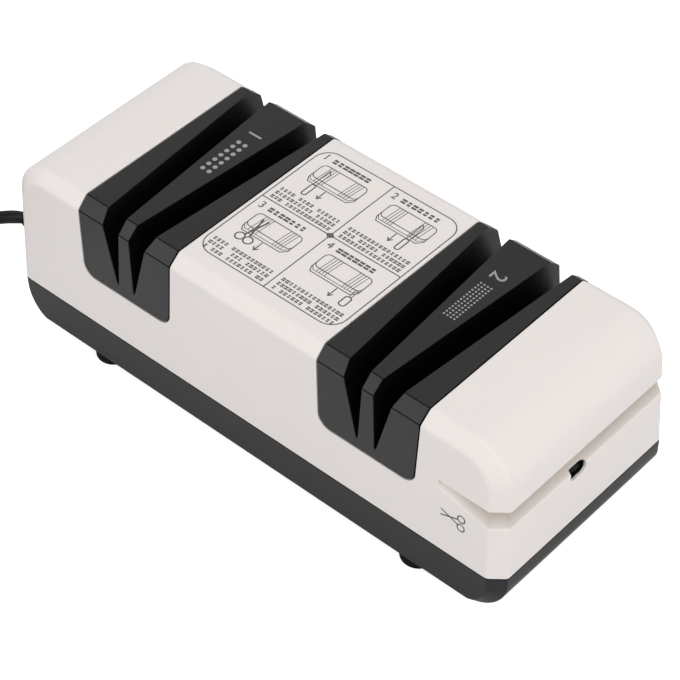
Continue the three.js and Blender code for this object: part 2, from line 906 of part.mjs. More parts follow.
function wheelSolid(radius, width, middle) {
  const half = width / 2;
  const bore = shaftRadius + gap + hubWall + gap;
  return onShaft(turnedAlongX([
    [bore, -half],
    [radius - wheelBevel, -half],
    [radius, wheelBevel - half],
    [radius, half - wheelBevel],
    [radius - wheelBevel, half],
    [bore, half],
    [bore, -half],
  ], wheelSides).translate(middle, 0, 0));
}

function hubSolid(width, middle, flangeRadius) {
  const inner = shaftRadius + gap;
  const half = width / 2;
  return onShaft(turnedAlongX([
    [inner, -half - gap - hubFlangeWidth],
    [flangeRadius, -half - gap - hubFlangeWidth],
    [flangeRadius, -half - gap],
    [inner + hubWall, -half - gap],
    [inner + hubWall, half],
    [inner, half],
    [inner, -half - gap - hubFlangeWidth],
  ], roundSides).translate(middle, 0, 0));
}

function nutSolid(radius, width, from) {
  const hexagon = turnedAlongX(rodProfile(radius, from, from + width), 6);
  const bore = turnedAlongX(rodProfile(shaftRadius + gap, from - overrun, from + width + overrun), smallSides);
  return onShaft(hexagon).subtract(onShaft(bore));
}

function addWheelSet(name, radius, width, middle, flangeRadius, nut) {
  addSolid(`${name}_wheel`, wheelSolid(radius, width, middle), abrasive());
  addSolid(`${name}_wheel_hub`, hubSolid(width, middle, flangeRadius), steel());
  const nutFrom = middle + width / 2 + gap;
  addSolid(`${name}_wheel_nut`, nutSolid(nut.radius, nut.width, nutFrom), steel());
}

function addWheels() {
  const nut = { radius: nutRadius, width: nutWidth };
  const endNut = { radius: endNutRadius, width: endNutWidth };
  addWheelSet('coarse', wheelRadius, wheelWidth, -guideSpacing / 2, hubFlangeRadius, nut);
  addWheelSet('fine', wheelRadius, wheelWidth, guideSpacing / 2, hubFlangeRadius, nut);
  addWheelSet('end', endWheelRadius, endWheelWidth, endWheelMiddle, endFlangeRadius, endNut);
}

function fanBlade(angle) {
  const blade = new THREE.BoxGeometry(fanWidth, fanBladeThickness, fanRadius - fanHubRadius / 2);
  blade.rotateZ(fanBladeTurn).translate(0, 0, (fanRadius + fanHubRadius / 2) / 2);
  return solid(blade.rotateX(angle).translate(fanMiddle, 0, shaftHeight));
}

function addFan() {
  const from = fanMiddle - fanWidth / 2;
  const to = fanMiddle + fanWidth / 2;
  const hub = onShaft(turnedAlongX(rodProfile(fanHubRadius, from, to), smallSides));
  const blades = Array.from({ length: arcSteps }, (_, index) => fanBlade(2 * Math.PI * index / arcSteps));
  const bore = onShaft(turnedAlongX(
    rodProfile(shaftRadius + gap, from - overrun, to + overrun), smallSides,
  ));
  const swept = onShaft(turnedAlongX(rodProfile(fanRadius, from, to), roundSides));
  addSolid('cooling_fan', joined([hub, ...blades]).intersect(swept).subtract(bore), blackPlastic());
}

// Bearing blocks and their bushes

function sideX(side, from, to) {
  return side > 0 ? [from, to] : [-to, -from];
}

function blockOutline(bore) {
  const half = blockDepth / 2;
  const foot = standHeight + shellWall + gap;
  const shape = new THREE.Shape();
  shape.moveTo(-half, foot);
  shape.lineTo(half, foot);
  shape.lineTo(half, shaftHeight);
  shape.absarc(0, shaftHeight, half, 0, Math.PI);
  const hole = new THREE.Path();
  hole.absarc(0, shaftHeight, bore, 0, 2 * Math.PI, true);
  shape.holes.push(hole);
  return shape;
}

function blockFootBox(side) {
  const foot = standHeight + shellWall + gap;
  const [x0, x1] = sideX(side, blockMiddle - blockFootWidth / 2, blockMiddle + blockFootWidth / 2);
  return solid(boxBetween([x0, -blockDepth / 2, foot], [x1, blockDepth / 2, foot + blockFootHeight]));
}

function addBearingBlock(name, side) {
  const bushOuter = shaftRadius + gap + bearingPlay + bushWall;
  const [x0, x1] = sideX(side, blockMiddle - blockWidth / 2, blockMiddle + blockWidth / 2);
  const upright = solid(plateAcrossX(blockOutline(bushOuter + gap), x0, x1));
  addSolid(`bearing_block_${name}`, upright.add(blockFootBox(side)), greyPlastic());
  const middle = side * blockMiddle;
  addBush(`bearing_bush_${name}`, middle - bushLength / 2, middle + bushLength / 2);
}

function addBush(name, from, to) {
  const inner = shaftRadius + gap + bearingPlay;
  addSolid(name, onShaft(turnedAlongX(
    sleeveProfile(inner, inner + bushWall, from, to), smallSides,
  )), bronze());
}

// Motor: laminated stator with its coil, rotor, two end brackets, their bushes and two through bolts

function boltPlaces() {
  const y = statorFront + boltInset;
  const drop = statorHeight / 2 - boltInset;
  return [[y, shaftHeight + drop], [y, shaftHeight - drop]];
}

function roundHole(y, z, radius) {
  const hole = new THREE.Path();
  hole.absarc(y, z, radius, 0, 2 * Math.PI, true);
  return hole;
}

function addStator() {
  const low = shaftHeight - statorHeight / 2;
  const high = shaftHeight + statorHeight / 2;
  const shape = outlineOf([[statorFront, low], [statorBack, low], [statorBack, high], [statorFront, high]]);
  const windowLow = shaftHeight - windowHeight / 2;
  const windowHigh = shaftHeight + windowHeight / 2;
  shape.holes.push(
    outlineOf([
      [windowFront, windowLow], [windowFront, windowHigh], [windowBack, windowHigh], [windowBack, windowLow],
    ]),
    roundHole(0, shaftHeight, statorBore),
    ...boltPlaces().map(([y, z]) => roundHole(y, z, boltRadius + gap)),
  );
  const plate = plateAcrossX(shape, -statorWidth / 2, statorWidth / 2, arcSteps + arcSteps / 2);
  addSolid('motor_stator', solid(plate), laminations());
}

function addMotorCoil() {
  const innerX = statorWidth / 2 + gap;
  const low = shaftHeight - coilHeight / 2;
  const high = shaftHeight + coilHeight / 2;
  const outer = boxBetween(
    [-innerX - coilWall, windowBack - gap - coilWall, low],
    [innerX + coilWall, statorBack + gap + coilWall, high],
  );
  const inner = boxBetween(
    [-innerX, windowBack - gap, low - overrun],
    [innerX, statorBack + gap, high + overrun],
  );
  addSolid('motor_coil', solid(outer).subtract(solid(inner)), copper());
}

function addRotor() {
  addSolid('motor_rotor', onShaft(turnedAlongX(
    sleeveProfile(shaftRadius + gap, rotorRadius, -rotorLength / 2, rotorLength / 2), roundSides,
  )), laminations());
}

function bracketOutline() {
  const foot = standHeight + shellWall + gap;
  const high = shaftHeight + statorHeight / 2;
  const shape = outlineOf([[statorFront, foot], [bracketBack, foot], [bracketBack, high], [statorFront, high]]);
  const bushOuter = shaftRadius + gap + bearingPlay + bushWall;
  shape.holes.push(roundHole(0, shaftHeight, bushOuter + gap));
  return shape;
}

function addBracket(name, side) {
  const plateFrom = bracketMiddle - bracketPlate / 2;
  const plateTo = bracketMiddle + bracketPlate / 2;
  const foot = standHeight + shellWall + gap;
  const plate = solid(plateAcrossX(bracketOutline(), ...sideX(side, plateFrom, plateTo)));
  const [footFrom, footTo] = sideX(side, plateFrom, plateTo + bracketFoot);
  const flange = solid(boxBetween([footFrom, statorFront, foot], [footTo, bracketBack, foot + bracketPlate]));
  const [bossFrom, bossTo] = sideX(side, statorWidth / 2 + gap, plateTo);
  const bosses = boltPlaces().map(([y, z]) => solid(
    turnedAlongX(rodProfile(boltBoss, bossFrom, bossTo), smallSides).translate(0, y, z),
  ));
  const bores = boltPlaces().map(([y, z]) => solid(
    turnedAlongX(rodProfile(boltRadius + gap, bossFrom - overrun, bossTo + overrun), smallSides)
      .translate(0, y, z),
  ));
  addSolid(`motor_bracket_${name}`, cut(joined([plate, flange, ...bosses]), bores), laminations());
  addBush(`motor_bush_${name}`, side * bracketMiddle - bushLength / 2, side * bracketMiddle + bushLength / 2);
}

function addMotorBolts() {
  const end = bracketMiddle + bracketPlate / 2 + gap;
  const profile = [
    [0, -end - boltHeadHeight],
    [boltHeadRadius, -end - boltHeadHeight],
    [boltHeadRadius, -end],
    [boltRadius, -end],
    [boltRadius, end + boltHeadHeight],
    [0, end + boltHeadHeight],
  ];
  boltPlaces().forEach(([y, z], index) => {
    const bolt = turnedAlongX(profile, arcSteps + arcSteps / 2);
    addSolid(`motor_bolt_${index + 1}`, solid(bolt), steel(), sharpener, [0, y, z]);
  });
}

// Rocker switch

function addSwitchBody(group) {
  const flange = solid(boxBetween(
    [-switchFlange, -switchFlangeWidth / 2, -switchFlangeHeight / 2],
    [0, switchFlangeWidth / 2, switchFlangeHeight / 2],
  ));
  const body = solid(boxBetween(
    [-switchFlange / 2, -switchBodyWidth / 2, -switchBodyHeight / 2],
    [switchBodyDepth, switchBodyWidth / 2, switchBodyHeight / 2],
  ));
  const reach = Math.hypot(rockerHeight / 2, rockerPivotDepth + rockerProud);
  const well = solid(boxBetween(
    [-switchFlange - overrun, -rockerWidth / 2 - gap, -reach - 2 * gap],
    [rockerWell - switchFlange, rockerWidth / 2 + gap, reach + 2 * gap],
  ));
  const terminals = [-1, 1].map((side) => solid(boxBetween(
    [switchBodyDepth - overrun, -terminalWidth / 2, side * terminalSpacing / 2 - terminalThickness / 2],
    [switchBodyDepth + terminalLength, terminalWidth / 2, side * terminalSpacing / 2 + terminalThickness / 2],
  )));
  addSolid('power_switch_body', joined([flange, body, ...terminals]).subtract(well), blackPlastic(), group);
}

// Seen from the side the rocker is a shallow V outside and an arc-ended keel inside, with its pivot at 0, 0.
function rockerOutline() {
  const half = rockerHeight / 2;
  const middle = rockerPivotDepth + rockerProud;
  const tip = middle + half * Math.tan(rockerTilt);
  return outlineOf([
    [-middle, 0],
    [-tip, half],
    [0, half],
    [rockerDepth, half / 2],
    [rockerDepth, -half / 2],
    [0, -half],
    [-tip, -half],
  ]);
}

function addRocker(group) {
  const rocker = solid(plateAcrossY(rockerOutline(), rockerWidth / 2));
  const mesh = addSolid('power_switch_rocker', rocker, blackPlastic(), group);
  mesh.position.set(rockerPivotDepth - switchFlange, 0, 0);
  mesh.rotation.y = rockerTilt;
}

function addSwitch() {
  const group = new THREE.Group();
  group.applyMatrix4(switchFrame());
  sharpener.add(group);
  addSwitchBody(group);
  addRocker(group);
}

// Strain relief: a soft tapered sleeve that droops from the wall to the cord's first point

function reliefStations() {
  const wallX = -jointLength / 2 - gap;
  const start = new THREE.Vector3(wallX - collarLength, inletY, jointHeight);
  const [cordStart, cordNext] = cordRoute.map((point) => new THREE.Vector3(...point));
  const back = cordStart.clone().sub(cordNext).normalize();
  const tip = cordStart.clone().addScaledVector(back, gap);
  const bend = tip.clone().addScaledVector(back, (jointHeight - tip.z) / back.z);
  const curve = new THREE.QuadraticBezierCurve3(start, bend, tip);
  const side = new THREE.Vector3(0, 1, 0);
  const station = (centre, tangent, width, height) => ({
    centre, side, up: tangent.clone().cross(side).negate(), halfSide: width / 2, halfUp: height / 2,
  });
  const straight = new THREE.Vector3(-1, 0, 0);
  const inside = -jointLength / 2 + shellWall + gap;
  const at = (x) => new THREE.Vector3(x, inletY, jointHeight);
  const stations = [
    station(at(inside + innerFlangeLength), straight, collarWidth, collarHeight),
    station(at(inside), straight, collarWidth, collarHeight),
    station(at(inside), straight, neckWidth, neckHeight),
    station(at(wallX), straight, neckWidth, neckHeight),
    station(at(wallX), straight, collarWidth, collarHeight),
    station(start, straight, collarWidth, collarHeight),
  ];
  for (let step = 0; step <= arcSteps; step += 1) {
    const share = step / arcSteps;
    const width = neckWidth + (reliefTipWidth - neckWidth) * share;
    const height = neckHeight + (reliefTipHeight - neckHeight) * share;
    stations.push(station(curve.getPoint(share), curve.getTangent(share), width, height));
  }
  return stations;
}

function addStrainRelief() {
  addSolid('strain_relief', solid(sectionTube(reliefStations(), softSquareShares(smallSides))), rubber());
}

// The flat cord's outline; its wide way lies along the section's second axis, or its first.
const flatCordShares = [[1, 0.45], [0.62, 0.9], [0, 1], [-0.62, 0.9], [-1, 0.45]];

function flatSection(wideFirst) {
  const shape = new THREE.Shape();
  const halves = [...flatCordShares, ...flatCordShares.map(([thin, wide]) => [-thin, -wide])];
  halves.forEach(([thin, wide], index) => {
    const corner = [thin * cordThickness / 2, wide * cordWidth / 2];
    if (wideFirst) {
      corner.reverse();
    }
    if (index === 0) {
      shape.moveTo(...corner);
    } else {
      shape.lineTo(...corner);
    }
  });
  return shape;
}

function alongRoute(section, route, steps) {
  const path = new THREE.CatmullRomCurve3(route.map((point) => new THREE.Vector3(...point)));
  return new THREE.ExtrudeGeometry(section, { steps, extrudePath: path, bevelEnabled: false });
}

function addCordTail() {
  const from = -jointLength / 2 + shellWall + gap + innerFlangeLength + gap;
  const route = [[from, inletY, jointHeight], [from + tailLength, inletY, jointHeight]];
  addSolid('cord_tail', solid(alongRoute(flatSection(false), route, 1)), cordVinyl());
}

function addCordClamp() {
  const low = jointHeight + cordThickness / 2 + gap;
  const bar = solid(boxBetween(
    [clampMiddle - clampLength / 2, inletY - clampWidth / 2, low],
    [clampMiddle + clampLength / 2, inletY + clampWidth / 2, low + clampBar],
  ));
  const holes = rodsUp(clampScrewPlaces(), clampScrewRadius + gap, low - overrun, low + 2 * overrun, arcSteps);
  addSolid('cord_clamp', cut(bar, holes), greyPlastic());
  const shape = screwSolid(clampScrewRadius, clampScrewHead, clampScrewHead / 2, clampScrewLength);
  clampScrewPlaces().forEach(([x, y], index) => {
    const screw = addSolid(`clamp_screw_${index + 1}`, shape, steel(), sharpener, [x, y, low + clampBar + gap]);
    screw.rotation.x = Math.PI;
  });
}

function addLeads() {
  const section = outlineOf(Array.from({ length: arcSteps }, (_, index) => {
    const angle = 2 * Math.PI * index / arcSteps;
    return [leadRadius * Math.cos(angle), leadRadius * Math.sin(angle)];
  }));
  const leads = { live_lead: liveRoute, neutral_lead: neutralRoute, switched_lead: switchedRoute };
  Object.entries(leads).forEach(([name, { fromEnd, fromMiddle }]) => {
    const route = [...fromEnd.map(([x, y, z]) => [x - jointLength / 2, y, z]), ...fromMiddle];
    addSolid(name, solid(alongRoute(section, route, 3 * route.length)), cordVinyl());
  });
}

// The free cord lies flat; in its coil it stands on edge, so it twists a quarter turn on the way in.

const turnPitch = cordThickness + coilTurnGap;
const layerPitch = cordWidth + coilTurnGap;
const coilOuter = coilMeanDiameter / 2 + turnPitch * coilTurnsPerLayer / 2;
const coilInner = coilOuter - turnPitch * coilTurnsPerLayer;
const coilLow = tieThickness + gap + cordWidth / 2;
const coilStart = new THREE.Vector3(...cordRoute.at(-1)).add(new THREE.Vector3(-gap, 0, 0));
const coilMiddle = new THREE.Vector3(coilStart.x - coilLeadIn, coilStart.y - coilOuter, 0);

function leadInPoint(share) {
  const turn = smooth(Math.min(1, Math.max(0, share * coilLeadIn - cordWidth) / (coilLeadIn / 2)));
  return {
    point: coilStart.clone().add(new THREE.Vector3(
      -share * coilLeadIn, 0, turn * (coilLow - coilStart.z),
    )),
    turn: turn * Math.PI / 2,
  };
}

function loopPoint(turns) {
  const climb = Math.min(1, Math.max(0, (turns - coilTurnsPerLayer) * 2));
  const inward = Math.min(turns, coilTurnsPerLayer);
  const outward = Math.max(0, turns - coilTurnsPerLayer - 1 / 2);
  const radius = coilOuter - turnPitch * (inward - outward) - coilClimbDip * Math.sin(Math.PI * climb);
  const angle = Math.PI / 2 + 2 * Math.PI * turns;
  return {
    point: coilMiddle.clone().add(new THREE.Vector3(
      radius * Math.cos(angle), radius * Math.sin(angle), coilLow + layerPitch * smooth(climb),
    )),
    turn: Math.PI / 2,
  };
}

function coilPoints() {
  const points = [];
  for (let step = 0; step < leadSteps; step += 1) {
    points.push(leadInPoint(step / leadSteps));
  }
  const allTurns = 2 * coilTurnsPerLayer + 1 / 2;
  for (let step = 0; step <= allTurns * loopSteps; step += 1) {
    points.push(loopPoint(step / loopSteps));
  }
  const last = points.at(-1).point;
  points.push({ point: last.clone().add(new THREE.Vector3(coilLeadOut / 2, 0, 0)), turn: Math.PI / 2 });
  points.push({ point: last.clone().add(new THREE.Vector3(coilLeadOut, 0, 0)), turn: Math.PI / 2 });
  return points;
}

function coilStations() {
  const points = coilPoints();
  const up = new THREE.Vector3(0, 0, 1);
  return points.map(({ point, turn }, index) => {
    const before = points[Math.max(0, index - 1)].point;
    const after = points[Math.min(points.length - 1, index + 1)].point;
    const tangent = after.clone().sub(before);
    if (index === 0 || index === points.length - 1) {
      tangent.z = 0;
    }
    tangent.normalize();
    const level = tangent.clone().cross(up).normalize();
    const rise = level.clone().cross(tangent);
    const side = level.clone().multiplyScalar(Math.cos(turn)).addScaledVector(rise, Math.sin(turn));
    const thin = rise.multiplyScalar(Math.cos(turn)).addScaledVector(level, -Math.sin(turn));
    return { centre: point, side, up: thin, halfSide: cordWidth / 2, halfUp: cordThickness / 2 };
  });
}

function leastSelfGap(stations) {
  const rings = stations.map(({ centre, side, up, halfSide, halfUp }) => flatHexShares.map(
    ([sideShare, upShare]) => centre.clone()
      .addScaledVector(side, halfSide * sideShare)
      .addScaledVector(up, halfUp * upShare),
  ));
  let least = Infinity;
  for (let one = 0; one < rings.length; one += 1) {
    for (let other = one + loopSteps / 2; other < rings.length; other += 1) {
      for (const point of rings[one]) {
        least = Math.min(least, distanceToRing(point, rings[other], rings[other - 1]));
      }
    }
  }
  return least;
}

function distanceToRing(point, ring, previous) {
  const triangle = new THREE.Triangle();
  const nearest = new THREE.Vector3();
  let least = Infinity;
  ring.forEach((corner, index) => {
    const next = (index + 1) % ring.length;
    for (const third of [previous[index], previous[next]]) {
      triangle.set(corner, ring[next], third);
      triangle.closestPointToPoint(point, nearest);
      least = Math.min(least, nearest.distanceTo(point));
    }
  });
  return least;
}

function addCord() {
  const free = alongRoute(flatSection(true), cordRoute, cordRoute.length);
  addSolid('power_cord', solid(free), cordVinyl());
  const stations = coilStations();
  console.log(`least gap between the coil's turns: ${leastSelfGap(stations).toFixed(2)} mm`);
  addSolid('power_cord_coil', solid(sectionTube(stations, flatHexShares)), cordVinyl());
}

function addCordTie() {
  const low = tieThickness / 2;
  const high = coilLow + layerPitch + cordWidth / 2 + gap + tieThickness / 2;
  const inner = coilInner - turnPitch / 2 - tieThickness;
  const outer = coilOuter + turnPitch / 2 + tieThickness;
  const band = boxBetween([inner, -tieWidth / 2, low - tieThickness / 2], [outer, tieWidth / 2, high + low]);
  const inside = boxBetween(
    [inner + tieThickness, -tieWidth, tieThickness],
    [outer - tieThickness, tieWidth, high - low],
  );
  const loop = solid(band).subtract(solid(inside));
  const tie = addSolid('cord_tie', loop, rubber(), sharpener, [coilMiddle.x, coilMiddle.y, 0]);
  tie.rotation.z = Math.PI;
}

// Plug: soft-cornered body with a neck round the cord and two flat blades

function plugStation(x, z, width, height) {
  return {
    centre: new THREE.Vector3(x, coilMiddle.y - coilOuter, z),
    side: new THREE.Vector3(0, 1, 0),
    up: new THREE.Vector3(0, 0, 1),
    halfSide: width / 2,
    halfUp: height / 2,
  };
}

function addPlug() {
  const z = coilLow + layerPitch;
  const neckWide = cordThickness * 2;
  const neckHigh = cordWidth * 3 / 2;
  const from = coilMiddle.x + coilLeadOut + gap;
  const body = from + plugNeck;
  const face = body + plugLength;
  const stations = [
    plugStation(from, z, neckWide, neckHigh),
    plugStation(body, z, neckWide * neckFlareShare, neckHigh * neckFlareShare),
    plugStation(body, z, plugWidth * plugBackWidthShare, 2 * z * plugBackHeightShare),
    plugStation(body + plugSoftEdge, z, plugWidth * plugEdgeShare, 2 * z),
    plugStation(face - plugSoftEdge, z, plugWidth, 2 * z),
    plugStation(face, z, plugWidth * plugEdgeShare, 2 * z * plugEdgeShare),
  ];
  addSolid('plug_body', solid(sectionTube(stations, softSquareShares(smallSides))), blackPlastic());
  [-1, 1].forEach((side, index) => {
    const middle = coilMiddle.y - coilOuter + side * bladeSpacing / 2;
    const blade = solid(boxBetween(
      [face + gap, middle - bladeThickness / 2, z - bladeWidth / 2],
      [face + gap + bladeLength, middle + bladeThickness / 2, z + bladeWidth / 2],
    ));
    addSolid(`plug_blade_${index + 1}`, blade, steel());
  });
}

addUpperHousing();
addBaseTray();
addGuides();
addFeet();
addHousingScrews();
addStator();
addMotorCoil();
addRotor();
addBracket('left', -1);
addBracket('right', 1);
addMotorBolts();
addShaft();
addFan();
addWheels();
addBearingBlock('left', -1);
addBearingBlock('right', 1);
addSwitch();
addStrainRelief();
addCordTail();
addCordClamp();
addLeads();
addCord();
addCordTie();
addPlug();

export default sharpener;
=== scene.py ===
# %% [markdown]
# # An electric knife sharpener
# The part is a long bench sharpener: an off-white upper housing on a dark tray, two dark guide inserts with
# V-slots over grinding wheels, a groove round one end, four feet and a flat mains cord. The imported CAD
# model is the frame. Everything here is placed from it, in metres, with +Z up.

# %% Load the frame
import json
import math

import bmesh
import bpy
from mathutils import Matrix, Vector

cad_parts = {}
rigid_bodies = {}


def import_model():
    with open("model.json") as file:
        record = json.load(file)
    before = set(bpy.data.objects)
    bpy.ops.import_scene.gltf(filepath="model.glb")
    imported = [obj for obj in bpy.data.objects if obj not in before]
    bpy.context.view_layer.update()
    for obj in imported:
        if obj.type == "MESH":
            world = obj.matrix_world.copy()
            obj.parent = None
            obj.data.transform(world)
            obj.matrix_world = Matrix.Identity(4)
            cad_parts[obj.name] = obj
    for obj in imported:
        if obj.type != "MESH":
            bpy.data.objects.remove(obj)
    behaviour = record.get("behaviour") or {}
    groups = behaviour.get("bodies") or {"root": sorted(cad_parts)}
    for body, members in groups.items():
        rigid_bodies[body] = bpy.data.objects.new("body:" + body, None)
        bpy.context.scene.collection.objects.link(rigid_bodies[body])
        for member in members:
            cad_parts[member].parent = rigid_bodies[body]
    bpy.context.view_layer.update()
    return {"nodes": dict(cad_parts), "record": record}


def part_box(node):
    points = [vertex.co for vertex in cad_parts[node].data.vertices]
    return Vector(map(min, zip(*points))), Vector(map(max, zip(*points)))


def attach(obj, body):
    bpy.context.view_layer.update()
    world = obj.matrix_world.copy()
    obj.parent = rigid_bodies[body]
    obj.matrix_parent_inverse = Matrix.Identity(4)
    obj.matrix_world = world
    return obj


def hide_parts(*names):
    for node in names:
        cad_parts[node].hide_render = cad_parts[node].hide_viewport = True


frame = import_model()

# %% [markdown]
# ## Units and sizes
# The frame gives the overall sizes. What a box can't tell, such as a lean or the radius of an edge, is a
# named value here, in metres through MM. The plastic ends one thickness of ink below the frame's top, so
# that the printing on it stays inside the frame's box.

# %% Sizes of the body
MM = 0.001
_, shell_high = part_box("upper_housing")
tray_low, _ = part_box("base_tray")
coarse_low, coarse_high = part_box("coarse_wheel")
guide_low, guide_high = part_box("coarse_guide")

INK = 0.05 * MM
SEAM = 0.3 * MM
OVERRUN = 3 * MM
WALL = 2.4 * MM
HALF_LENGTH = shell_high.x
HALF_DEPTH = shell_high.y
TOP = shell_high.z - INK
UNDERSIDE = tray_low.z
SHAFT_Z = (coarse_low.z + coarse_high.z) / 2
JOINT_BELOW_SHAFT = 15.6 * MM
JOINT = SHAFT_Z - JOINT_BELOW_SHAFT
HOUSING_LEAN = 0.038
TRAY_LEAN = 0.02
HOUSING_ROUND = 17 * MM
TRAY_ROUND = 13.5 * MM
CHAMFER_ACROSS = 4.4 * MM
CHAMFER_DEEP = 4.7 * MM
END_ACROSS = 5.6 * MM
TRAY_EDGE = 1.2 * MM
GUIDE_X = abs(coarse_low.x + coarse_high.x) / 2
GUIDE_FOOT = guide_low.z
GUIDE_HALF = (guide_high.x - guide_low.x) / 2
GUIDE_LEAN = 0.045
GUIDE_CORNER = 5.5 * MM
GUIDE_SKIN = 2.2 * MM
WINDOW_GAP = 0.45 * MM
print("body:", [round(v / MM, 1) for v in (2 * HALF_LENGTH, 2 * HALF_DEPTH, TOP)], "mm")

# %% [markdown]
# ## The camera
# The camera comes first, with the cord, because the cord's hidden part has to lie just outside its view.
# Its place was worked out from straight edges of known direction in the photograph: it looks down at about
# 45 degrees from the front right, from nearly a metre away, through a long lens.

# %% Camera
EYE = Vector((421.9, -461.9, 647.3)) * MM
LOOK = Vector((-0.4762, 0.5268, -0.7041)).normalized()
ACROSS = Vector((0.7468, 0.6650, -0.0076))
SENSOR = 36.0
FRAME_PIXELS = 680
FOCAL_PIXELS = 2447.6
CLIP_START = 0.05

across = (ACROSS - ACROSS.dot(LOOK) * LOOK).normalized()
camera_turn = Matrix((across, across.cross(LOOK), -LOOK)).transposed().to_4x4()
camera_data = bpy.data.cameras.new("photo_camera")
camera_data.type = "PERSP"
camera_data.sensor_width = SENSOR
camera_data.lens = FOCAL_PIXELS / FRAME_PIXELS * SENSOR
camera_data.clip_start = CLIP_START
camera = bpy.data.objects.new("photo_camera", camera_data)
camera.matrix_world = Matrix.Translation(EYE) @ camera_turn
bpy.context.scene.collection.objects.link(camera)
bpy.context.scene.camera = camera
print("camera:", round(EYE.length, 3), "m from the part")

# %% [markdown]
# ## Small helpers for meshes
# Most pieces are rings of points joined into a skin. `skin` joins rings of equally many points, and closes
# both ends with one flat face each. `combine` cuts or joins two closed meshes and keeps the result as a
# plain mesh. Points are moved in the mesh, never the object, so that every pattern on Object coordinates
# stays in place.


# %% Mesh helpers
def mesh_piece(name, points, faces):
    mesh = bpy.data.meshes.new(name)
    mesh.from_pydata([tuple(p) for p in points], [], faces)
    mesh.update()
    piece = bpy.data.objects.new(name, mesh)
    bpy.context.scene.collection.objects.link(piece)
    return piece


def outwards(piece, merge=1e-6):
    """Merges doubled points and turns every face outwards."""
    work = bmesh.new()
    work.from_mesh(piece.data)
    bmesh.ops.remove_doubles(work, verts=work.verts, dist=merge)
    bmesh.ops.dissolve_degenerate(work, edges=work.edges, dist=merge)
    bmesh.ops.recalc_face_normals(work, faces=work.faces)
    work.to_mesh(piece.data)
    work.free()
    return piece


def skin(name, rings, closed=False):
    """Joins rings into a skin; a closed one runs from its last ring back to its first."""
    count = len(rings[0])
    points = [p for ring in rings for p in ring]
    faces = []
    joints = len(rings) if closed else len(rings) - 1
    for ring in range(joints):
        after = (ring + 1) % len(rings)
        for k in range(count):
            n = (k + 1) % count
            faces.append((ring * count + k, after * count + k, after * count + n, ring * count + n))
    if not closed:
        faces.append(tuple(range(count)))
        faces.append(tuple(reversed(range((len(rings) - 1) * count, len(rings) * count))))
    return outwards(mesh_piece(name, points, faces))


def box_piece(name, low, high):
    rings = [
        [(x, low[1], low[2]), (x, high[1], low[2]), (x, high[1], high[2]), (x, low[1], high[2])]
        for x in (low[0], high[0])
    ]
    return skin(name, rings)


def arc(centre, radius, first, last, steps):
    """Points of an arc in a plane, with both ends, angles in degrees."""
    turn = [math.radians(first + (last - first) * k / steps) for k in range(steps + 1)]
    return [(centre[0] + radius * math.cos(t), centre[1] + radius * math.sin(t)) for t in turn]


def round_box(x, y, wide, high, corner, steps=6):
    """Points of a rectangle with round corners, in a plane."""
    points = []
    for k, (sx, sy) in enumerate(((1, 1), (-1, 1), (-1, -1), (1, -1))):
        centre = (x + sx * (wide / 2 - corner), y + sy * (high / 2 - corner))
        points += arc(centre, corner, 90 * k, 90 * k + 90, steps)
    return points


def turned(name, profile, sides, centre=(0, 0, 0), axis="X"):
    """Turns a profile of (radius, along) pairs, which starts and ends on the axis or closes on itself."""
    rings = []
    for k in range(sides):
        angle = 2 * math.pi * k / sides
        ring = []
        for radius, along in profile:
            a, b = radius * math.cos(angle), radius * math.sin(angle)
            ring.append((along, a, b) if axis == "X" else (a, b, along))
        rings.append([Vector(p) + Vector(centre) for p in ring])
    return skin(name, rings, closed=True)


def rod(name, radius, low, high, sides=32):
    """An upright rod on the middle axis."""
    return turned(name, [(0, low), (radius, low), (radius, high), (0, high)], sides, axis="Z")


# %% Helpers that change a mesh
def keep_evaluated(piece):
    """Replaces a piece's mesh by what its modifiers make of it."""
    bpy.context.view_layer.update()
    graph = bpy.context.evaluated_depsgraph_get()
    made = bpy.data.meshes.new_from_object(piece.evaluated_get(graph))
    piece.modifiers.clear()
    piece.data = made
    return piece


def remove(*pieces):
    for piece in pieces:
        bpy.data.objects.remove(piece)


def combine(piece, tools, operation="DIFFERENCE"):
    """Cuts each tool from a piece, or joins it, and removes the tools."""
    for tool in tools:
        cut = piece.modifiers.new("cut", "BOOLEAN")
        cut.operation = operation
        cut.solver = "MANIFOLD"
        cut.object = tool
        keep_evaluated(piece)
    remove(*tools)
    return outwards(piece)


def soften(piece, width, segments=2, sharper=30, wanted=lambda middle: True):
    """Rounds the edges that turn by more than `sharper` degrees and whose middle is wanted."""
    work = bmesh.new()
    work.from_mesh(piece.data)
    limit = math.radians(sharper)
    edges = [
        edge for edge in work.edges
        if len(edge.link_faces) == 2 and edge.calc_face_angle(0) > limit
        and wanted((edge.verts[0].co + edge.verts[1].co) / 2)
    ]
    bmesh.ops.bevel(
        work, geom=edges, offset=width, segments=segments, profile=0.5, affect="EDGES", clamp_overlap=False
    )
    work.to_mesh(piece.data)
    work.free()
    return piece


def smooth_shaded(piece, angle=30):
    """Shades a piece smoothly, except over edges that turn by more than the angle."""
    for face in piece.data.polygons:
        face.use_smooth = True
    work = bmesh.new()
    work.from_mesh(piece.data)
    for edge in work.edges:
        edge.smooth = not (len(edge.link_faces) == 2 and edge.calc_face_angle(0) > math.radians(angle))
    work.to_mesh(piece.data)
    work.free()
    normals = piece.modifiers.new("flat faces stay flat", "WEIGHTED_NORMAL")
    normals.keep_sharp = True
    return piece


def copy_of(piece, name):
    twin = piece.copy()
    twin.data = piece.data.copy()
    twin.name = name
    bpy.context.scene.collection.objects.link(twin)
    return twin


def moved(piece, matrix):
    piece.data.transform(matrix)
    return piece


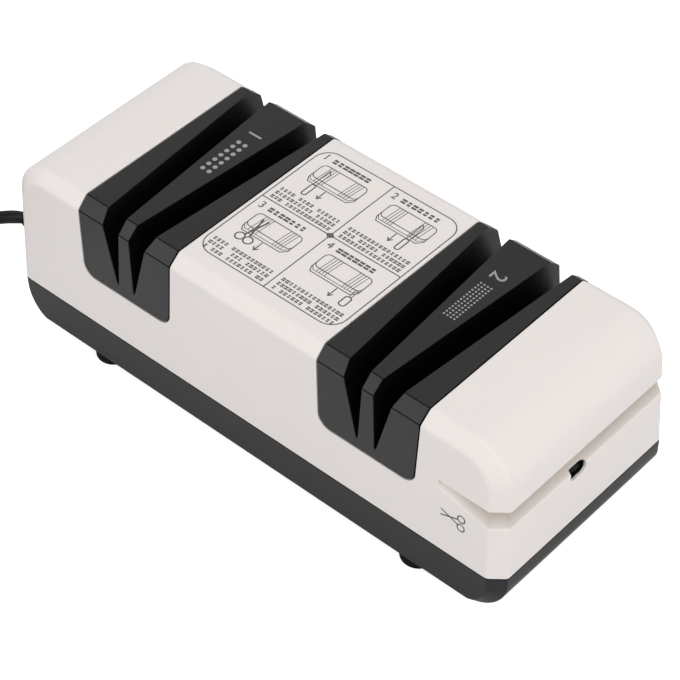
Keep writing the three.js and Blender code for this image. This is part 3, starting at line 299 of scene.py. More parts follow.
def joined(name, pieces):
    """Puts several meshes into one piece."""
    work = bmesh.new()
    for piece in pieces:
        work.from_mesh(piece.data)
    whole = mesh_piece(name, [], [])
    work.to_mesh(whole.data)
    work.free()
    remove(*pieces)
    return whole


# %% [markdown]
# ## Geometry Nodes for what repeats
# Feet, screws, vents, grip ridges and printed rows are the same thing many times over. One small tree sets
# copies of an item on a level grid of points. A second one also leaves some out and stretches the rest, at
# random but from a fixed seed. Both make their copies real and give them their finish.


# %% Trees
def new_tree(name, inputs):
    tree = bpy.data.node_groups.new(name, "GeometryNodeTree")
    tree.interface.new_socket("Geometry", in_out="OUTPUT", socket_type="NodeSocketGeometry")
    for label, kind in inputs:
        tree.interface.new_socket(label, in_out="INPUT", socket_type="NodeSocket" + kind)
    return tree


def wire(tree, rows):
    """Links sockets by their identifiers, or by their names on the group's own nodes."""
    def find(sockets, key):
        return next(s for s in sockets if key in (s.identifier, s.name))

    for source, out, target, into in rows:
        tree.links.new(find(source.outputs, out), find(target.inputs, into))


GRID_INPUTS = (
    ("Item", "Object"), ("Finish", "Material"), ("Count X", "Int"), ("Count Y", "Int"), ("Span X", "Float"),
    ("Span Y", "Float"), ("Middle", "Vector"),
)


def grid_tree(name, extra=()):
    tree = new_tree(name, GRID_INPUTS + extra)
    add = tree.nodes.new
    given, result = add("NodeGroupInput"), add("NodeGroupOutput")
    grid, place = add("GeometryNodeMeshGrid"), add("GeometryNodeTransform")
    item, copies = add("GeometryNodeObjectInfo"), add("GeometryNodeInstanceOnPoints")
    real, painted = add("GeometryNodeRealizeInstances"), add("GeometryNodeSetMaterial")
    wire(tree, [
        (given, "Span X", grid, "Size X"), (given, "Span Y", grid, "Size Y"),
        (given, "Count X", grid, "Vertices X"), (given, "Count Y", grid, "Vertices Y"),
        (grid, "Mesh", place, "Geometry"), (given, "Middle", place, "Translation"),
        (given, "Item", item, "Object"), (place, "Geometry", copies, "Points"),
        (item, "Geometry", copies, "Instance"), (copies, "Instances", real, "Geometry"),
        (real, "Geometry", painted, "Geometry"), (given, "Finish", painted, "Material"),
        (painted, "Geometry", result, "Geometry"),
    ])
    return tree, given, copies


copies_on_a_grid, _, _ = grid_tree("copies_on_a_grid")

# %% The tree with gaps and random widths
SHORTEST_SHARE, LONGEST_SHARE = 0.6, 1.15
broken_rows, given, copies = grid_tree("broken_rows", (("Kept", "Float"), ("Seed", "Int")))
chosen = broken_rows.nodes.new("FunctionNodeRandomValue")
chosen.data_type = "BOOLEAN"
width = broken_rows.nodes.new("FunctionNodeRandomValue")
width.data_type = "FLOAT"
width.inputs[2].default_value = SHORTEST_SHARE
width.inputs[3].default_value = LONGEST_SHARE
stretch = broken_rows.nodes.new("ShaderNodeCombineXYZ")
stretch.inputs["Y"].default_value = 1
stretch.inputs["Z"].default_value = 1
wire(broken_rows, [
    (given, "Kept", chosen, "Probability"), (given, "Seed", chosen, "Seed"),
    (chosen, "Value_003", copies, "Selection"), (given, "Seed", width, "Seed"),
    (width, "Value_001", stretch, "X"), (stretch, "Vector", copies, "Scale"),
])


# %% Running a tree
def grown(tree, name, item, values):
    """Runs a tree on an empty piece, keeps what it makes as a plain mesh, and removes the item."""
    piece = mesh_piece(name, [], [])
    maker = piece.modifiers.new("maker", "NODES")
    maker.node_group = tree
    for socket in tree.interface.items_tree:
        if socket.in_out == "INPUT":
            maker[socket.identifier] = item if socket.name == "Item" else values[socket.name]
    keep_evaluated(piece)
    remove(item)
    print(name, len(piece.data.polygons), "faces")
    return piece


def on_grid(name, item, finish, counts, spans, middle, tree=copies_on_a_grid, **more):
    values = {
        "Finish": finish, "Middle": middle, "Count X": counts[0], "Count Y": counts[1],
        "Span X": spans[0], "Span Y": spans[1], **more,
    }
    return grown(tree, name, item, values)


# %% [markdown]
# ## Materials
# Every finish is made from the same few steps: a base colour that drifts a little, a roughness that drifts
# with it, and a fine bump at the scale of the real surface. All patterns read Object coordinates, which are
# the part's own, because every piece's object stays at the origin.


# %% Adding and setting nodes
def set_inputs(node, values):
    for key, value in values.items():
        node.inputs[key].default_value = value


def add_node(tree, kind, values=None, **settings):
    """Adds a node, chooses its settings, then gives its inputs their values."""
    node = tree.nodes.new(kind)
    for key, value in settings.items():
        setattr(node, key, value)
    set_inputs(node, values or {})
    return node


# %% A finish with drift and grain
DRIFT_DETAIL, GRAIN_DETAIL = 3, 2


def finish(name, colour, roughness, metallic=0.0, drift=0.04, drift_scale=60, grain_scale=2500, grain=0.02,
           grain_depth=0.02 * MM, rough_drift=0.06, specular=0.5):
    material = bpy.data.materials.new(name)
    material.use_nodes = True
    tree = material.node_tree
    shader = tree.nodes["Principled BSDF"]
    set_inputs(shader, {"Metallic": metallic, "Specular IOR Level": specular})
    darker = [c * (1 - drift) for c in colour] + [1]
    lighter = [min(1, c * (1 + drift)) for c in colour] + [1]
    rough = {"To Min": roughness - rough_drift, "To Max": roughness + rough_drift}
    place = add_node(tree, "ShaderNodeTexCoord")
    cloud = add_node(tree, "ShaderNodeTexNoise", {"Scale": drift_scale, "Detail": DRIFT_DETAIL})
    mix = add_node(tree, "ShaderNodeMix", {"A": darker, "B": lighter}, data_type="RGBA")
    fine = add_node(tree, "ShaderNodeTexNoise", {"Scale": grain_scale, "Detail": GRAIN_DETAIL})
    spread = add_node(tree, "ShaderNodeMapRange", rough)
    bump = add_node(tree, "ShaderNodeBump", {"Strength": grain, "Distance": grain_depth})
    wire(tree, [
        (place, "Object", cloud, "Vector"), (place, "Object", fine, "Vector"), (cloud, "Fac", mix, "Factor"),
        (mix, "Result_Color", shader, "Base Color"), (fine, "Fac", spread, "Value"),
        (spread, "Result", shader, "Roughness"), (fine, "Fac", bump, "Height"),
        (bump, "Normal", shader, "Normal"),
    ])
    return material


# %% Additions to a finish
def tinted(material, attribute, colour):
    """Mixes a second colour in where a point attribute of the mesh says so."""
    tree = material.node_tree
    shader = tree.nodes["Principled BSDF"]
    before = shader.inputs["Base Color"].links[0].from_node
    share = add_node(tree, "ShaderNodeAttribute", attribute_name=attribute)
    mix = add_node(tree, "ShaderNodeMix", {"B": [*colour, 1]}, data_type="RGBA")
    wire(tree, [
        (share, "Fac", mix, "Factor"), (before, "Result_Color", mix, "A_Color"),
        (mix, "Result_Color", shader, "Base Color"),
    ])
    return material


def banded(material, direction, scale, depth):
    """Adds straight ridges to a finish, such as stacked sheets or wound wire."""
    tree = material.node_tree
    shader = tree.nodes["Principled BSDF"]
    before = shader.inputs["Normal"].links[0].from_node
    wave = add_node(tree, "ShaderNodeTexWave", {"Scale": scale}, bands_direction=direction)
    ridge = add_node(tree, "ShaderNodeBump", {"Distance": depth})
    wire(tree, [
        (tree.nodes["Texture Coordinate"], "Object", wave, "Vector"), (wave, "Fac", ridge, "Height"),
        (before, "Normal", ridge, "Normal"), (ridge, "Normal", shader, "Normal"),
    ])
    return material


def paint(piece, *materials):
    piece.data.materials.clear()
    for material in materials:
        piece.data.materials.append(material)
    return piece


# %% Moulded plastics
WHITE = finish("off_white_abs", (0.78, 0.737, 0.711), 0.42, drift=0.012, grain=0.15)
# The groove's tan is painted shade: the same white plastic, darkened and warmed towards the groove's deepest
# edge, where less light reaches.
tinted(WHITE, "groove_painted_shade", (0.41, 0.345, 0.28))
DARK = finish("dark_grey_abs", (0.012, 0.012, 0.0122), 0.32, drift=0.05, grain=0.15, specular=0.40)
TRAY = finish("tray_grey_abs", (0.0056, 0.0057, 0.0059), 0.34, drift=0.05, grain=0.2, specular=0.36)
# The slots' walls and floors get painted shade: the same plastic, near black for the dark deep inside them.
SLOT_PAINTED_SHADE = finish("slot_painted_shade_abs", (0.0012, 0.0012, 0.0012), 0.35, drift=0.1, grain=0.2)
# Dark lines along the inserts' chamfer edges, and painted shadow on the inserts' outer sides in the gap to
# the housing.
EDGE_LINES_AND_GAP_SHADE = finish("dark_edge_lines_and_gap_shade", (0.004, 0.004, 0.004), 0.8, drift=0.1, specular=0.1)
BLACK = finish("black_abs", (0.012, 0.012, 0.013), 0.35, drift=0.08, grain=0.15)

# %% Rubber, vinyl and grit
RUBBER = finish("foot_rubber", (0.006, 0.006, 0.006), 0.8, drift=0.12, grain=0.5, specular=0.12)
VINYL = finish("cord_vinyl", (0.006, 0.006, 0.0062), 0.6, drift=0.08, grain=0.2, specular=0.2)
GRIT = finish("bonded_grit", (0.06, 0.055, 0.05), 0.92, drift=0.35, drift_scale=900, grain_scale=1800,
              grain=1.0, grain_depth=0.25 * MM, specular=0.2)

# %% Metals and inks
STEEL = finish("plated_steel", (0.52, 0.53, 0.54), 0.32, metallic=1.0, drift=0.05, grain=0.2)
BRONZE = finish("sintered_bronze", (0.42, 0.23, 0.08), 0.45, metallic=1.0, drift=0.12, grain=0.5)
LAMINATION = finish("oiled_lamination", (0.16, 0.165, 0.17), 0.5, metallic=0.9, drift=0.15, grain=0.4)
banded(LAMINATION, "X", 320, 0.05 * MM)
COPPER = finish("enamelled_copper", (0.45, 0.14, 0.04), 0.35, metallic=0.9, drift=0.15, grain=0.3)
banded(COPPER, "X", 380, 0.2 * MM)
PRINT = finish("print_grey", (0.075, 0.078, 0.082), 0.6, drift=0.05)
PALE_PRINT = finish("print_pale", (0.30, 0.31, 0.32), 0.6, drift=0.05)

# %% [markdown]
# ## The mains cord
# The photograph shows a few centimetres of a flat twin cord, where it leaves the left end. A lead of such a
# sharpener is about 1.2 m long, so the rest lies wound in a flat coil just outside the view, standing on
# edge in its turns, and the plug lies at its end. The route's points are those of the CAD model.

# %% The cord's route
CORD_WIDTH = 5.4 * MM
CORD_THICK = 3.2 * MM
CORD_ROUTE = [
    (-138.9, -20, 16.8), (-141.4, -20, 15.85), (-143.9, -20, 14.75), (-146.4, -20, 13.5),
    (-148.9, -20, 12.1), (-151.4, -20, 10.55), (-153.9, -20, 8.95), (-156.4, -20, 7.35),
    (-158.9, -20, 5.85), (-161.4, -20, 4.5), (-163.9, -20, 3.35), (-166.4, -20, 2.5),
    (-168.9, -20, 1.95), (-172.4, -20, 1.65), (-176, -20, 1.6),
]
TWIST = math.radians(37)
TWIST_FROM, TWIST_FULL, TWIST_BACK, TWIST_GONE = -138.9 * MM, -150 * MM, -158 * MM, -170 * MM
COIL_TURNS = 2.5
CLIMB_TURNS = 0.5
COIL_MEAN = 64.8 * MM
TURN_PITCH = CORD_THICK + 0.6 * MM
LAYER_PITCH = CORD_WIDTH + 0.6 * MM
CLIMB_DIP = 1.9 * MM
LEAD_IN, LEAD_IN_STEPS = 28 * MM, 12
LEAD_OUT, LEAD_OUT_STEPS = 16 * MM, 4
TIE_THICK = 0.5 * MM
COIL_STEPS = 48
COIL_OUTER = COIL_MEAN / 2 + TURN_PITCH * COIL_TURNS / 2
COIL_LOW = TIE_THICK + SEAM + CORD_WIDTH / 2

route = [Vector(p) * MM for p in CORD_ROUTE]
coil_start = route[-1] - Vector((SEAM, 0, 0))
coil_middle = coil_start - Vector((LEAD_IN, COIL_OUTER, coil_start.z))


def eased(share):
    share = min(1.0, max(0.0, share))
    return share * share * (3 - 2 * share)


def twist_at(x):
    """The short stretch in the air twists a little, so that its flat side looks to the front."""
    turning = eased((TWIST_FROM - x) / (TWIST_FROM - TWIST_FULL))
    returning = eased((TWIST_BACK - x) / (TWIST_BACK - TWIST_GONE))
    return TWIST * (turning - returning)


def lead_in_point(share):
    turn = eased((share * LEAD_IN - CORD_WIDTH) / (LEAD_IN / 2))
    return coil_start + Vector((-share * LEAD_IN, 0, turn * (COIL_LOW - coil_start.z))), turn * math.pi / 2


def coil_point(turns):
    """A point of the coil: in from the outer turn, up to the second layer, and out again."""
    climb = min(1.0, max(0.0, (turns - COIL_TURNS) / CLIMB_TURNS))
    inward = min(turns, COIL_TURNS)
    outward = max(0.0, turns - COIL_TURNS - CLIMB_TURNS)
    radius = COIL_OUTER - TURN_PITCH * (inward - outward) - CLIMB_DIP * math.sin(math.pi * climb)
    angle = math.pi / 2 + 2 * math.pi * turns
    height = COIL_LOW + LAYER_PITCH * eased(climb)
    reach = Vector((radius * math.cos(angle), radius * math.sin(angle), height))
    return coil_middle + reach, math.pi / 2


stations = [(p, twist_at(p.x)) for p in route]
stations += [lead_in_point(k / LEAD_IN_STEPS) for k in range(LEAD_IN_STEPS)]
all_turns = 2 * COIL_TURNS + CLIMB_TURNS
stations += [coil_point(k / COIL_STEPS) for k in range(int(all_turns * COIL_STEPS) + 1)]
coil_end = stations[-1][0]
stations += [
    (coil_end + Vector((LEAD_OUT * k / LEAD_OUT_STEPS, 0, 0)), math.pi / 2)
    for k in range(1, LEAD_OUT_STEPS + 1)
]
cord_length = sum((b[0] - a[0]).length for a, b in zip(stations, stations[1:]))
print("cord:", round(cord_length, 3), "m along", len(stations), "points")


# %% [markdown]
# A flat twin cord has two round cores side by side with a groove between them. Its section is swept along
# the route, and turns a quarter on its way into the coil.

# %% The cord's mesh
def twin_section(width, thick, steps=8):
    """Points of the outline, as (across, up) pairs, once round."""
    radius = thick / 2
    middle = width / 2 - radius
    waist = math.degrees(math.acos(-middle / radius))
    right = arc((middle, 0), radius, -waist, waist, steps)
    left = [(-a, -b) for a, b in right]
    return right[:-1] + left[:-1]


def swept(name, places, section_at):
    """Sweeps a section along (point, turn) places; turn 0 lays its wide way level."""
    rings = []
    for k, (point, turn) in enumerate(places):
        before = places[max(0, k - 1)][0]
        after = places[min(len(places) - 1, k + 1)][0]
        along = (after - before).normalized()
        level = along.cross(Vector((0, 0, 1))).normalized()
        rise = level.cross(along)
        side = level * math.cos(turn) + rise * math.sin(turn)
        thin = rise * math.cos(turn) - level * math.sin(turn)
        rings.append([point + side * a + thin * b for a, b in section_at(k)])
    return skin(name, rings)


IN_RELIEF = 1.5
cord_section = twin_section(CORD_WIDTH, CORD_THICK)
into_relief = route[0] + (route[0] - route[1]).normalized() * IN_RELIEF * MM
mains_cord = swept("mains_cord", [(into_relief, 0.0)] + stations, lambda k: cord_section)
paint(smooth_shaded(mains_cord, 50), VINYL)
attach(mains_cord, "body")
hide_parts("power_cord", "power_cord_coil")
print("mains cord:", len(mains_cord.data.polygons), "faces")

# %% [markdown]
# ## Strain relief
# A soft sleeve carries the cord out of the wall. It tapers, droops a little, and is cut into ribs so that
# it bends. Its path is one curve from the collar at the wall to the cord's first point.

# %% Strain relief
COLLAR_WIDE, COLLAR_HIGH = 12 * MM, 9.6 * MM
NECK_WIDE, NECK_HIGH = 9.4 * MM, 7.4 * MM
TIP_WIDE, TIP_HIGH = 7.6 * MM, 5.2 * MM
COLLAR_THICK, COLLAR_EDGE, COLLAR_ROUND = 1.8 * MM, 0.4 * MM, 0.5 * MM
FLANGE_INSIDE = 2 * MM
RIB_COUNT = 7
RIB_CUT_SHARE, TIP_CUT_SHARE = 0.8, 0.92
RIB_SHARES = ((0.02, 1.0), (0.62, 1.0), (0.66, RIB_CUT_SHARE), (0.96, RIB_CUT_SHARE))

inlet_y = route[0].y


def soft_square(half_wide, half_high, sides=32, power=2.6):
    """Points of an oval that nears a rectangle as the power grows."""
    points = []
    for k in range(sides):
        angle = 2 * math.pi * (k + 0.5) / sides
        c, s = math.cos(angle), math.sin(angle)
        bulge = (abs(c) ** power + abs(s) ** power) ** (-1 / power)
        points.append((half_wide * c * bulge, half_high * s * bulge))
    return points


def relief_places():
    wall = -HALF_LENGTH - SEAM
    start = Vector((wall - COLLAR_THICK, inlet_y, JOINT))
    back = (route[0] - route[1]).normalized()
    tip = route[0] + back * SEAM
    bend = tip + back * ((JOINT - tip.z) / back.z)
    inside = -HALF_LENGTH + WALL + SEAM
    at = lambda x: Vector((x, inlet_y, JOINT))
    flange = (COLLAR_WIDE, COLLAR_HIGH)
    neck = (NECK_WIDE, NECK_HIGH)
    places = [
        (at(inside + FLANGE_INSIDE), flange), (at(inside), flange), (at(inside), neck), (at(wall), neck),
        (at(wall), (COLLAR_WIDE - 2 * COLLAR_EDGE, COLLAR_HIGH - 2 * COLLAR_EDGE)),
        (at(wall - COLLAR_EDGE), flange), (at(start.x + COLLAR_ROUND), flange),
        (start, (COLLAR_WIDE - 2 * COLLAR_ROUND, COLLAR_HIGH - 2 * COLLAR_ROUND)),
    ]
    for rib in range(RIB_COUNT):
        for part, cut in RIB_SHARES:
            share = (rib + part) / RIB_COUNT
            point = start * (1 - share) ** 2 + bend * 2 * share * (1 - share) + tip * share ** 2
            wide = NECK_WIDE + (TIP_WIDE - NECK_WIDE) * share
            high = NECK_HIGH + (TIP_HIGH - NECK_HIGH) * share
            places.append((point, (wide * cut, high * cut)))
    places.append((tip, (TIP_WIDE * TIP_CUT_SHARE, TIP_HIGH * TIP_CUT_SHARE)))
    return places


relief = relief_places()
cord_sleeve = swept(
    "cord_sleeve", [(point, 0.0) for point, size in relief],
    lambda k: soft_square(relief[k][1][0] / 2, relief[k][1][1] / 2),
)
paint(smooth_shaded(cord_sleeve, 40), RUBBER)
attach(cord_sleeve, "body")
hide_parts("strain_relief")
print("sleeve:", RIB_COUNT, "ribs on", len(relief), "rings")

# %% [markdown]
# ## Plug and tie
# The plug is a plain two-blade one: a soft-edged body with a tapered neck and grip ridges on each side. Its
# blades are flat strips with a round tip and a hole. The tie is one band round all the turns.

# %% Plug body
plug_low, plug_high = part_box("plug_body")
blade_low, blade_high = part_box("plug_blade_1")
PLUG_NECK, NECK_HIGH_SHARE = 11 * MM, 0.75
NECK_POWER, BODY_POWER, PLUG_SIDES = 2.4, 4.2, 48
PLUG_Z = (blade_low.z + blade_high.z) / 2
PLUG_Y = coil_end.y
NECK_SHARES = ((0.0, 0.92), (0.06, 1.0), (0.3, 1.02), (0.55, 1.12), (0.8, 1.34), (0.94, 1.62))
BODY_SHARES = (
    (0.0, 0.60, 0.52), (0.02, 0.74, 0.70), (0.06, 0.86, 0.86), (0.12, 0.93, 0.96), (0.2, 0.97, 1.0),
    (0.75, 1.0, 1.0), (0.93, 1.0, 1.0), (0.975, 0.985, 0.98), (1.0, 0.94, 0.90),
)
GRIP = (1.2 * MM, 2 * MM, 11 * MM)
GRIP_PITCH, GRIP_COUNT = 3 * MM, 4
GRIP_MIDDLE, GRIP_OUT = 13.5 * MM, 0.6 * MM
PLUG_ROOM, PLUG_EDGE = 0.05 * MM, 0.2 * MM
plug_half_wide = (plug_high.y - plug_low.y) / 2
plug_half_high = min(PLUG_Z, plug_high.z - PLUG_Z) - PLUG_ROOM
body_from = plug_low.x + PLUG_NECK
body_long = plug_high.x - body_from


def plug_ring(x, half_wide, half_high, power):
    outline = soft_square(half_wide, half_high, PLUG_SIDES, power)
    return [Vector((x, PLUG_Y + a, PLUG_Z + b)) for a, b in outline]


plug_rings = [
    plug_ring(
        plug_low.x + PLUG_NECK * share, CORD_THICK * grow, CORD_WIDTH * NECK_HIGH_SHARE * grow, NECK_POWER
    )
    for share, grow in NECK_SHARES
]
plug_rings += [
    plug_ring(
        body_from + body_long * share, plug_half_wide * wide, plug_half_high * high, BODY_POWER
    )
    for share, wide, high in BODY_SHARES
]
plug_shell = skin("plug_shell", plug_rings)
grip = box_piece("grip", [-size / 2 for size in GRIP], [size / 2 for size in GRIP])
grips = on_grid(
    "grips", grip, BLACK, (GRIP_COUNT, 2), (GRIP_PITCH * (GRIP_COUNT - 1), 2 * plug_half_wide + GRIP_OUT),
    (body_from + GRIP_MIDDLE, PLUG_Y, PLUG_Z),
)
combine(plug_shell, [grips])
soften(plug_shell, PLUG_EDGE, 2, 50)
paint(smooth_shaded(plug_shell, 35), BLACK)
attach(plug_shell, "body")
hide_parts("plug_body")


# %% Plug blades
BLADE_HOLE, BLADE_HOLE_FROM_TIP, BLADE_EDGE = 1.5 * MM, 4.5 * MM, 0.15 * MM


def blade(number):
    low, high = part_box(f"plug_blade_{number}")
    middle_z = (low.z + high.z) / 2
    half = (high.z - low.z) / 2
    outline = [(low.x, middle_z - half)] + arc((high.x - half, middle_z), half, -90, 90, 16)
    outline += [(low.x, middle_z + half)]
    strip = skin(f"contact_blade_{number}", [[(x, y, z) for x, z in outline] for y in (low.y, high.y)])
    hole = rod("hole", BLADE_HOLE, low.y - OVERRUN, high.y + OVERRUN, 24)
    moved(hole, Matrix.Rotation(-math.pi / 2, 4, "X"))
    moved(hole, Matrix.Translation((high.x - BLADE_HOLE_FROM_TIP, 0, middle_z)))
    combine(strip, [hole])
    soften(strip, BLADE_EDGE, 2, 50)
    paint(smooth_shaded(strip), STEEL)
    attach(strip, "body")
    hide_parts(f"plug_blade_{number}")
    return strip


blades = [blade(1), blade(2)]


# %% The tie
TIE_CORNER, TIE_EDGE = 1.6 * MM, 0.12 * MM


def tie_band():
    low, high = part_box("cord_tie")
    middle, size = (low + high) / 2, high - low
    outer, inner = [
        round_box(middle.x, middle.z, size.x - 2 * inset, size.z - 2 * inset, TIE_CORNER - inset)
        for inset in (0, TIE_THICK)
    ]
    rings = [
        [(a[0], low.y, a[1]), (a[0], high.y, a[1]), (b[0], high.y, b[1]), (b[0], low.y, b[1])]
        for a, b in zip(outer, inner)
    ]
    return skin("cord_band", rings, closed=True)


cord_band = tie_band()
paint(smooth_shaded(soften(cord_band, TIE_EDGE, 2, 50)), RUBBER)
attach(cord_band, "body")
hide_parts("cord_tie")

[tuple(p) for p, turn in stations]
print("plug and tie:", len(plug_shell.data.polygons), "and", len(cord_band.data.polygons), "faces")

# %% [markdown]
# ## The body's form
# Housing, tray and guides share one form. Seen from the front it is one outline: straight walls that lean,
# a round end and a flat top. From front to back that outline is drawn in at both faces, which makes the
# chamfer. The chamfer's own profile is a short path of (drawn in, distance from the face), with its corners
# rounded.


# %% The form's rings
def rounded_path(corners, radius, steps):
    """Replaces the inner corners of a path in a plane by arcs of a radius."""
    path = [Vector(corners[0])]
    for before, corner, after in zip(corners, corners[1:], corners[2:]):
        corner = Vector(corner)
        back = (Vector(before) - corner).normalized()
        on = (Vector(after) - corner).normalized()
        half = back.angle(on) / 2
        run = radius / math.tan(half)
        centre = corner + (back + on).normalized() * radius / math.sin(half)
        first = corner + back * run - centre
        last = corner + on * run - centre
        turn = first.angle_signed(last)
        for k in range(steps + 1):
            path.append(centre + Matrix.Rotation(-turn * k / steps, 2) @ first)
    path.append(Vector(corners[-1]))
    return path


class Form:
    """The body's form from its open edge to its flat: upwards for the housing, down for the tray."""

    def __init__(self, lean, round_end, open_z, flat_z, edge_radius=0, edge_steps=0):
        self.lean, self.round_end = lean, round_end
        self.open_z, self.flat_z = open_z, flat_z
        self.half_length, self.half_depth = HALF_LENGTH, HALF_DEPTH
        self.edge_radius, self.edge_steps = edge_radius, edge_steps
        self.up = 1 if flat_z > open_z else -1
        self.flat_share = 1.0

    def rise(self, z):
        return self.up * (z - JOINT)

    def end(self, z):
        return self.half_length - self.lean * self.rise(z)

    def face(self, z):
        return self.half_depth - self.lean * self.rise(z)

    def inside(self, point):
        """How deep a point lies behind the walls and the chamfers between them."""
        end = self.end(point.z) - abs(point.x)
        face = self.face(point.z) - abs(point.y)
        corner = end * CHAMFER_DEEP + face * END_ACROSS - END_ACROSS * CHAMFER_DEEP
        return min(end, face, corner / math.hypot(END_ACROSS, CHAMFER_DEEP))

    def thinner(self, wall, open_z):
        """The same form, drawn in by a wall, to hollow a shell with."""
        slope = math.hypot(1, self.lean)
        thin = Form(self.lean, self.round_end - wall, open_z, self.flat_z - self.up * wall)
        thin.half_length = self.half_length - wall * slope
        thin.half_depth = self.half_depth - wall * slope
        return thin

    def side_points(self, drawn_in, arc_steps):
        """(x, z, share of the end's chamfer) from the open edge to the flat, on the right."""
        slope = math.hypot(1, self.lean)
        centre_z = self.flat_z - self.up * self.round_end
        centre_x = self.end(centre_z) - self.round_end * slope
        first = math.atan(self.lean)
        end_draw = drawn_in * END_ACROSS / CHAMFER_ACROSS
        points = [(self.end(self.open_z) - end_draw * slope, self.open_z, 1)]
        for k in range(arc_steps + 1):
            angle = first + (math.pi / 2 - first) * k / arc_steps
            share = 1 - k / arc_steps
            flat_draw = drawn_in * (share + (1 - share) * self.flat_share)
            x = centre_x + (self.round_end - end_draw) * math.cos(angle)
            z = centre_z + self.up * (self.round_end - flat_draw) * math.sin(angle)
            points.append((x, z, share))
        return points

    def ring(self, side, drawn_in, from_face, arc_steps):
        """The whole outline, drawn in, at a distance from the front (side -1) or the back (side 1)."""
        right = self.side_points(drawn_in, arc_steps)
        left = [(-x, z, share) for x, z, share in reversed(right)]
        ring = []
        for x, z, share in right + left:
            inset = from_face * (share + (1 - share) * self.flat_share)
            ring.append((x, side * (self.face(z) - inset), z))
        return ring

    def solid(self, name, arc_steps):
        run = 2 * self.edge_radius
        corners = [
            (CHAMFER_ACROSS + run, 0), (CHAMFER_ACROSS, 0), (0, CHAMFER_DEEP), (0, CHAMFER_DEEP + run),
        ]
        if self.edge_radius:
            path = rounded_path(corners, self.edge_radius, self.edge_steps)[1:-1]
        else:
            path = [Vector(corner) for corner in corners[1:3]]
        front = [self.ring(-1, a, d, arc_steps) for a, d in path]
        back = [self.ring(1, a, d, arc_steps) for a, d in reversed(path)]
        return skin(name, front + back)


# %% Housing, guides and tray as forms
ARC_STEPS = 24
HOUSING_EDGE, FINE_EDGE = 2.2 * MM, 0.6 * MM
OPEN_EDGE = JOINT + SEAM / 2
housing_form = Form(HOUSING_LEAN, HOUSING_ROUND, OPEN_EDGE, TOP, HOUSING_EDGE, 4)
guide_form = Form(HOUSING_LEAN, HOUSING_ROUND, OPEN_EDGE, TOP, FINE_EDGE, 2)
tray_form = Form(TRAY_LEAN, TRAY_ROUND, JOINT - SEAM / 2, UNDERSIDE, FINE_EDGE, 2)
tray_form.flat_share = TRAY_EDGE / CHAMFER_ACROSS
print("end of the housing at the shaft:", round(housing_form.end(SHAFT_Z) / MM, 2), "mm")

# %% [markdown]
# ## Guide inserts
# Each insert sits in a window of the housing and carries on the housing's own form: same top, same
# chamfers, same faces. Its sides lean a little, its lower corners are round, and two V-slots run through it
# from front to back, skewed so that the wedge between them widens towards the back.


# %% Guide prism and slots
def guide_prism(name, grow, foot, corner):
    """The insert's front outline, grown all round and drawn out from front to back."""
    top = TOP + OVERRUN
    low = foot - grow
    turn = low + corner

    def half(z):
        return GUIDE_HALF + grow - GUIDE_LEAN * (TOP - z)

    outline = [(-half(top), top)]
    outline += arc((corner - half(turn), turn), corner, 180, 270, 10)
    outline += arc((half(turn) - corner, turn), corner, -90, 0, 10)
    outline += [(half(top), top)]
    deep = 2 * HALF_DEPTH
    return skin(name, [[(x, y, z) for x, z in outline] for y in (-deep, deep)])


WEDGE_HALF = 5.83 * MM
SLOT_WIDTH = 9.2 * MM
SLOT_SKEW = 0.0805
WEDGE_FLARE = 0.053
SLOT_LEAN = 0.25
SLOT_ABOVE_SHAFT = 11 * MM
SLOT_FLOOR = SHAFT_Z + SLOT_ABOVE_SHAFT
SLOT_WALL = 1.6 * MM
WHEEL_SIDE_ROOM, WHEEL_ROOM = 0.6 * MM, 1.2 * MM


def slot_sides(y, z):
    """How far the slot's two walls lie from the insert's middle."""
    down = TOP - z
    wedge = WEDGE_HALF + SLOT_SKEW * y + WEDGE_FLARE * down
    outer = WEDGE_HALF + SLOT_WIDTH + SLOT_SKEW * y - SLOT_LEAN * down
    return wedge, outer


def slot_cutter(side, wall):
    """One slot on a side (-1 left, 1 right), wider by a wall where it cuts the hollow."""
    rings = []
    reach = HALF_DEPTH + OVERRUN
    for y in (-reach, reach):
        low_wedge, low_outer = slot_sides(y, SLOT_FLOOR)
        top_wedge, top_outer = slot_sides(y, TOP + OVERRUN)
        rings.append([
            (side * (low_wedge - wall), y, SLOT_FLOOR - wall),
            (side * (low_outer + wall), y, SLOT_FLOOR - wall),
            (side * (top_outer + wall), y, TOP + OVERRUN),
            (side * (top_wedge - wall), y, TOP + OVERRUN),
        ])
    return skin("slot", rings)


def wheel_room():
    """Room for the wheel, its hub and its nut."""
    wheel_half = (coarse_high.x - coarse_low.x) / 2 + WHEEL_SIDE_ROOM
    radius = (coarse_high.z - coarse_low.z) / 2 + WHEEL_ROOM
    profile = [(0, -wheel_half), (radius, -wheel_half), (radius, wheel_half), (0, wheel_half)]
    return turned("wheel_room", profile, 64, (0, 0, SHAFT_Z))


# %% [markdown]
# The narrow strips that round an insert's chamfer edges are painted as fine dark lines, and the same near
# black paints shadow on its outer sides, in the gap to the housing. The slots get painted shade, as good as
# black all the way down. So three finishes share each insert, chosen face by face.

# %% The inserts
CREASE_BAND, SLOT_BAND = 0.4 * MM, 20 * MM
SLOT_STEEP, SIDE_STEEP = 0.8, 0.9
GUIDE_EDGE, GUIDE_SIDE_WALL = 0.3 * MM, 1.8 * MM


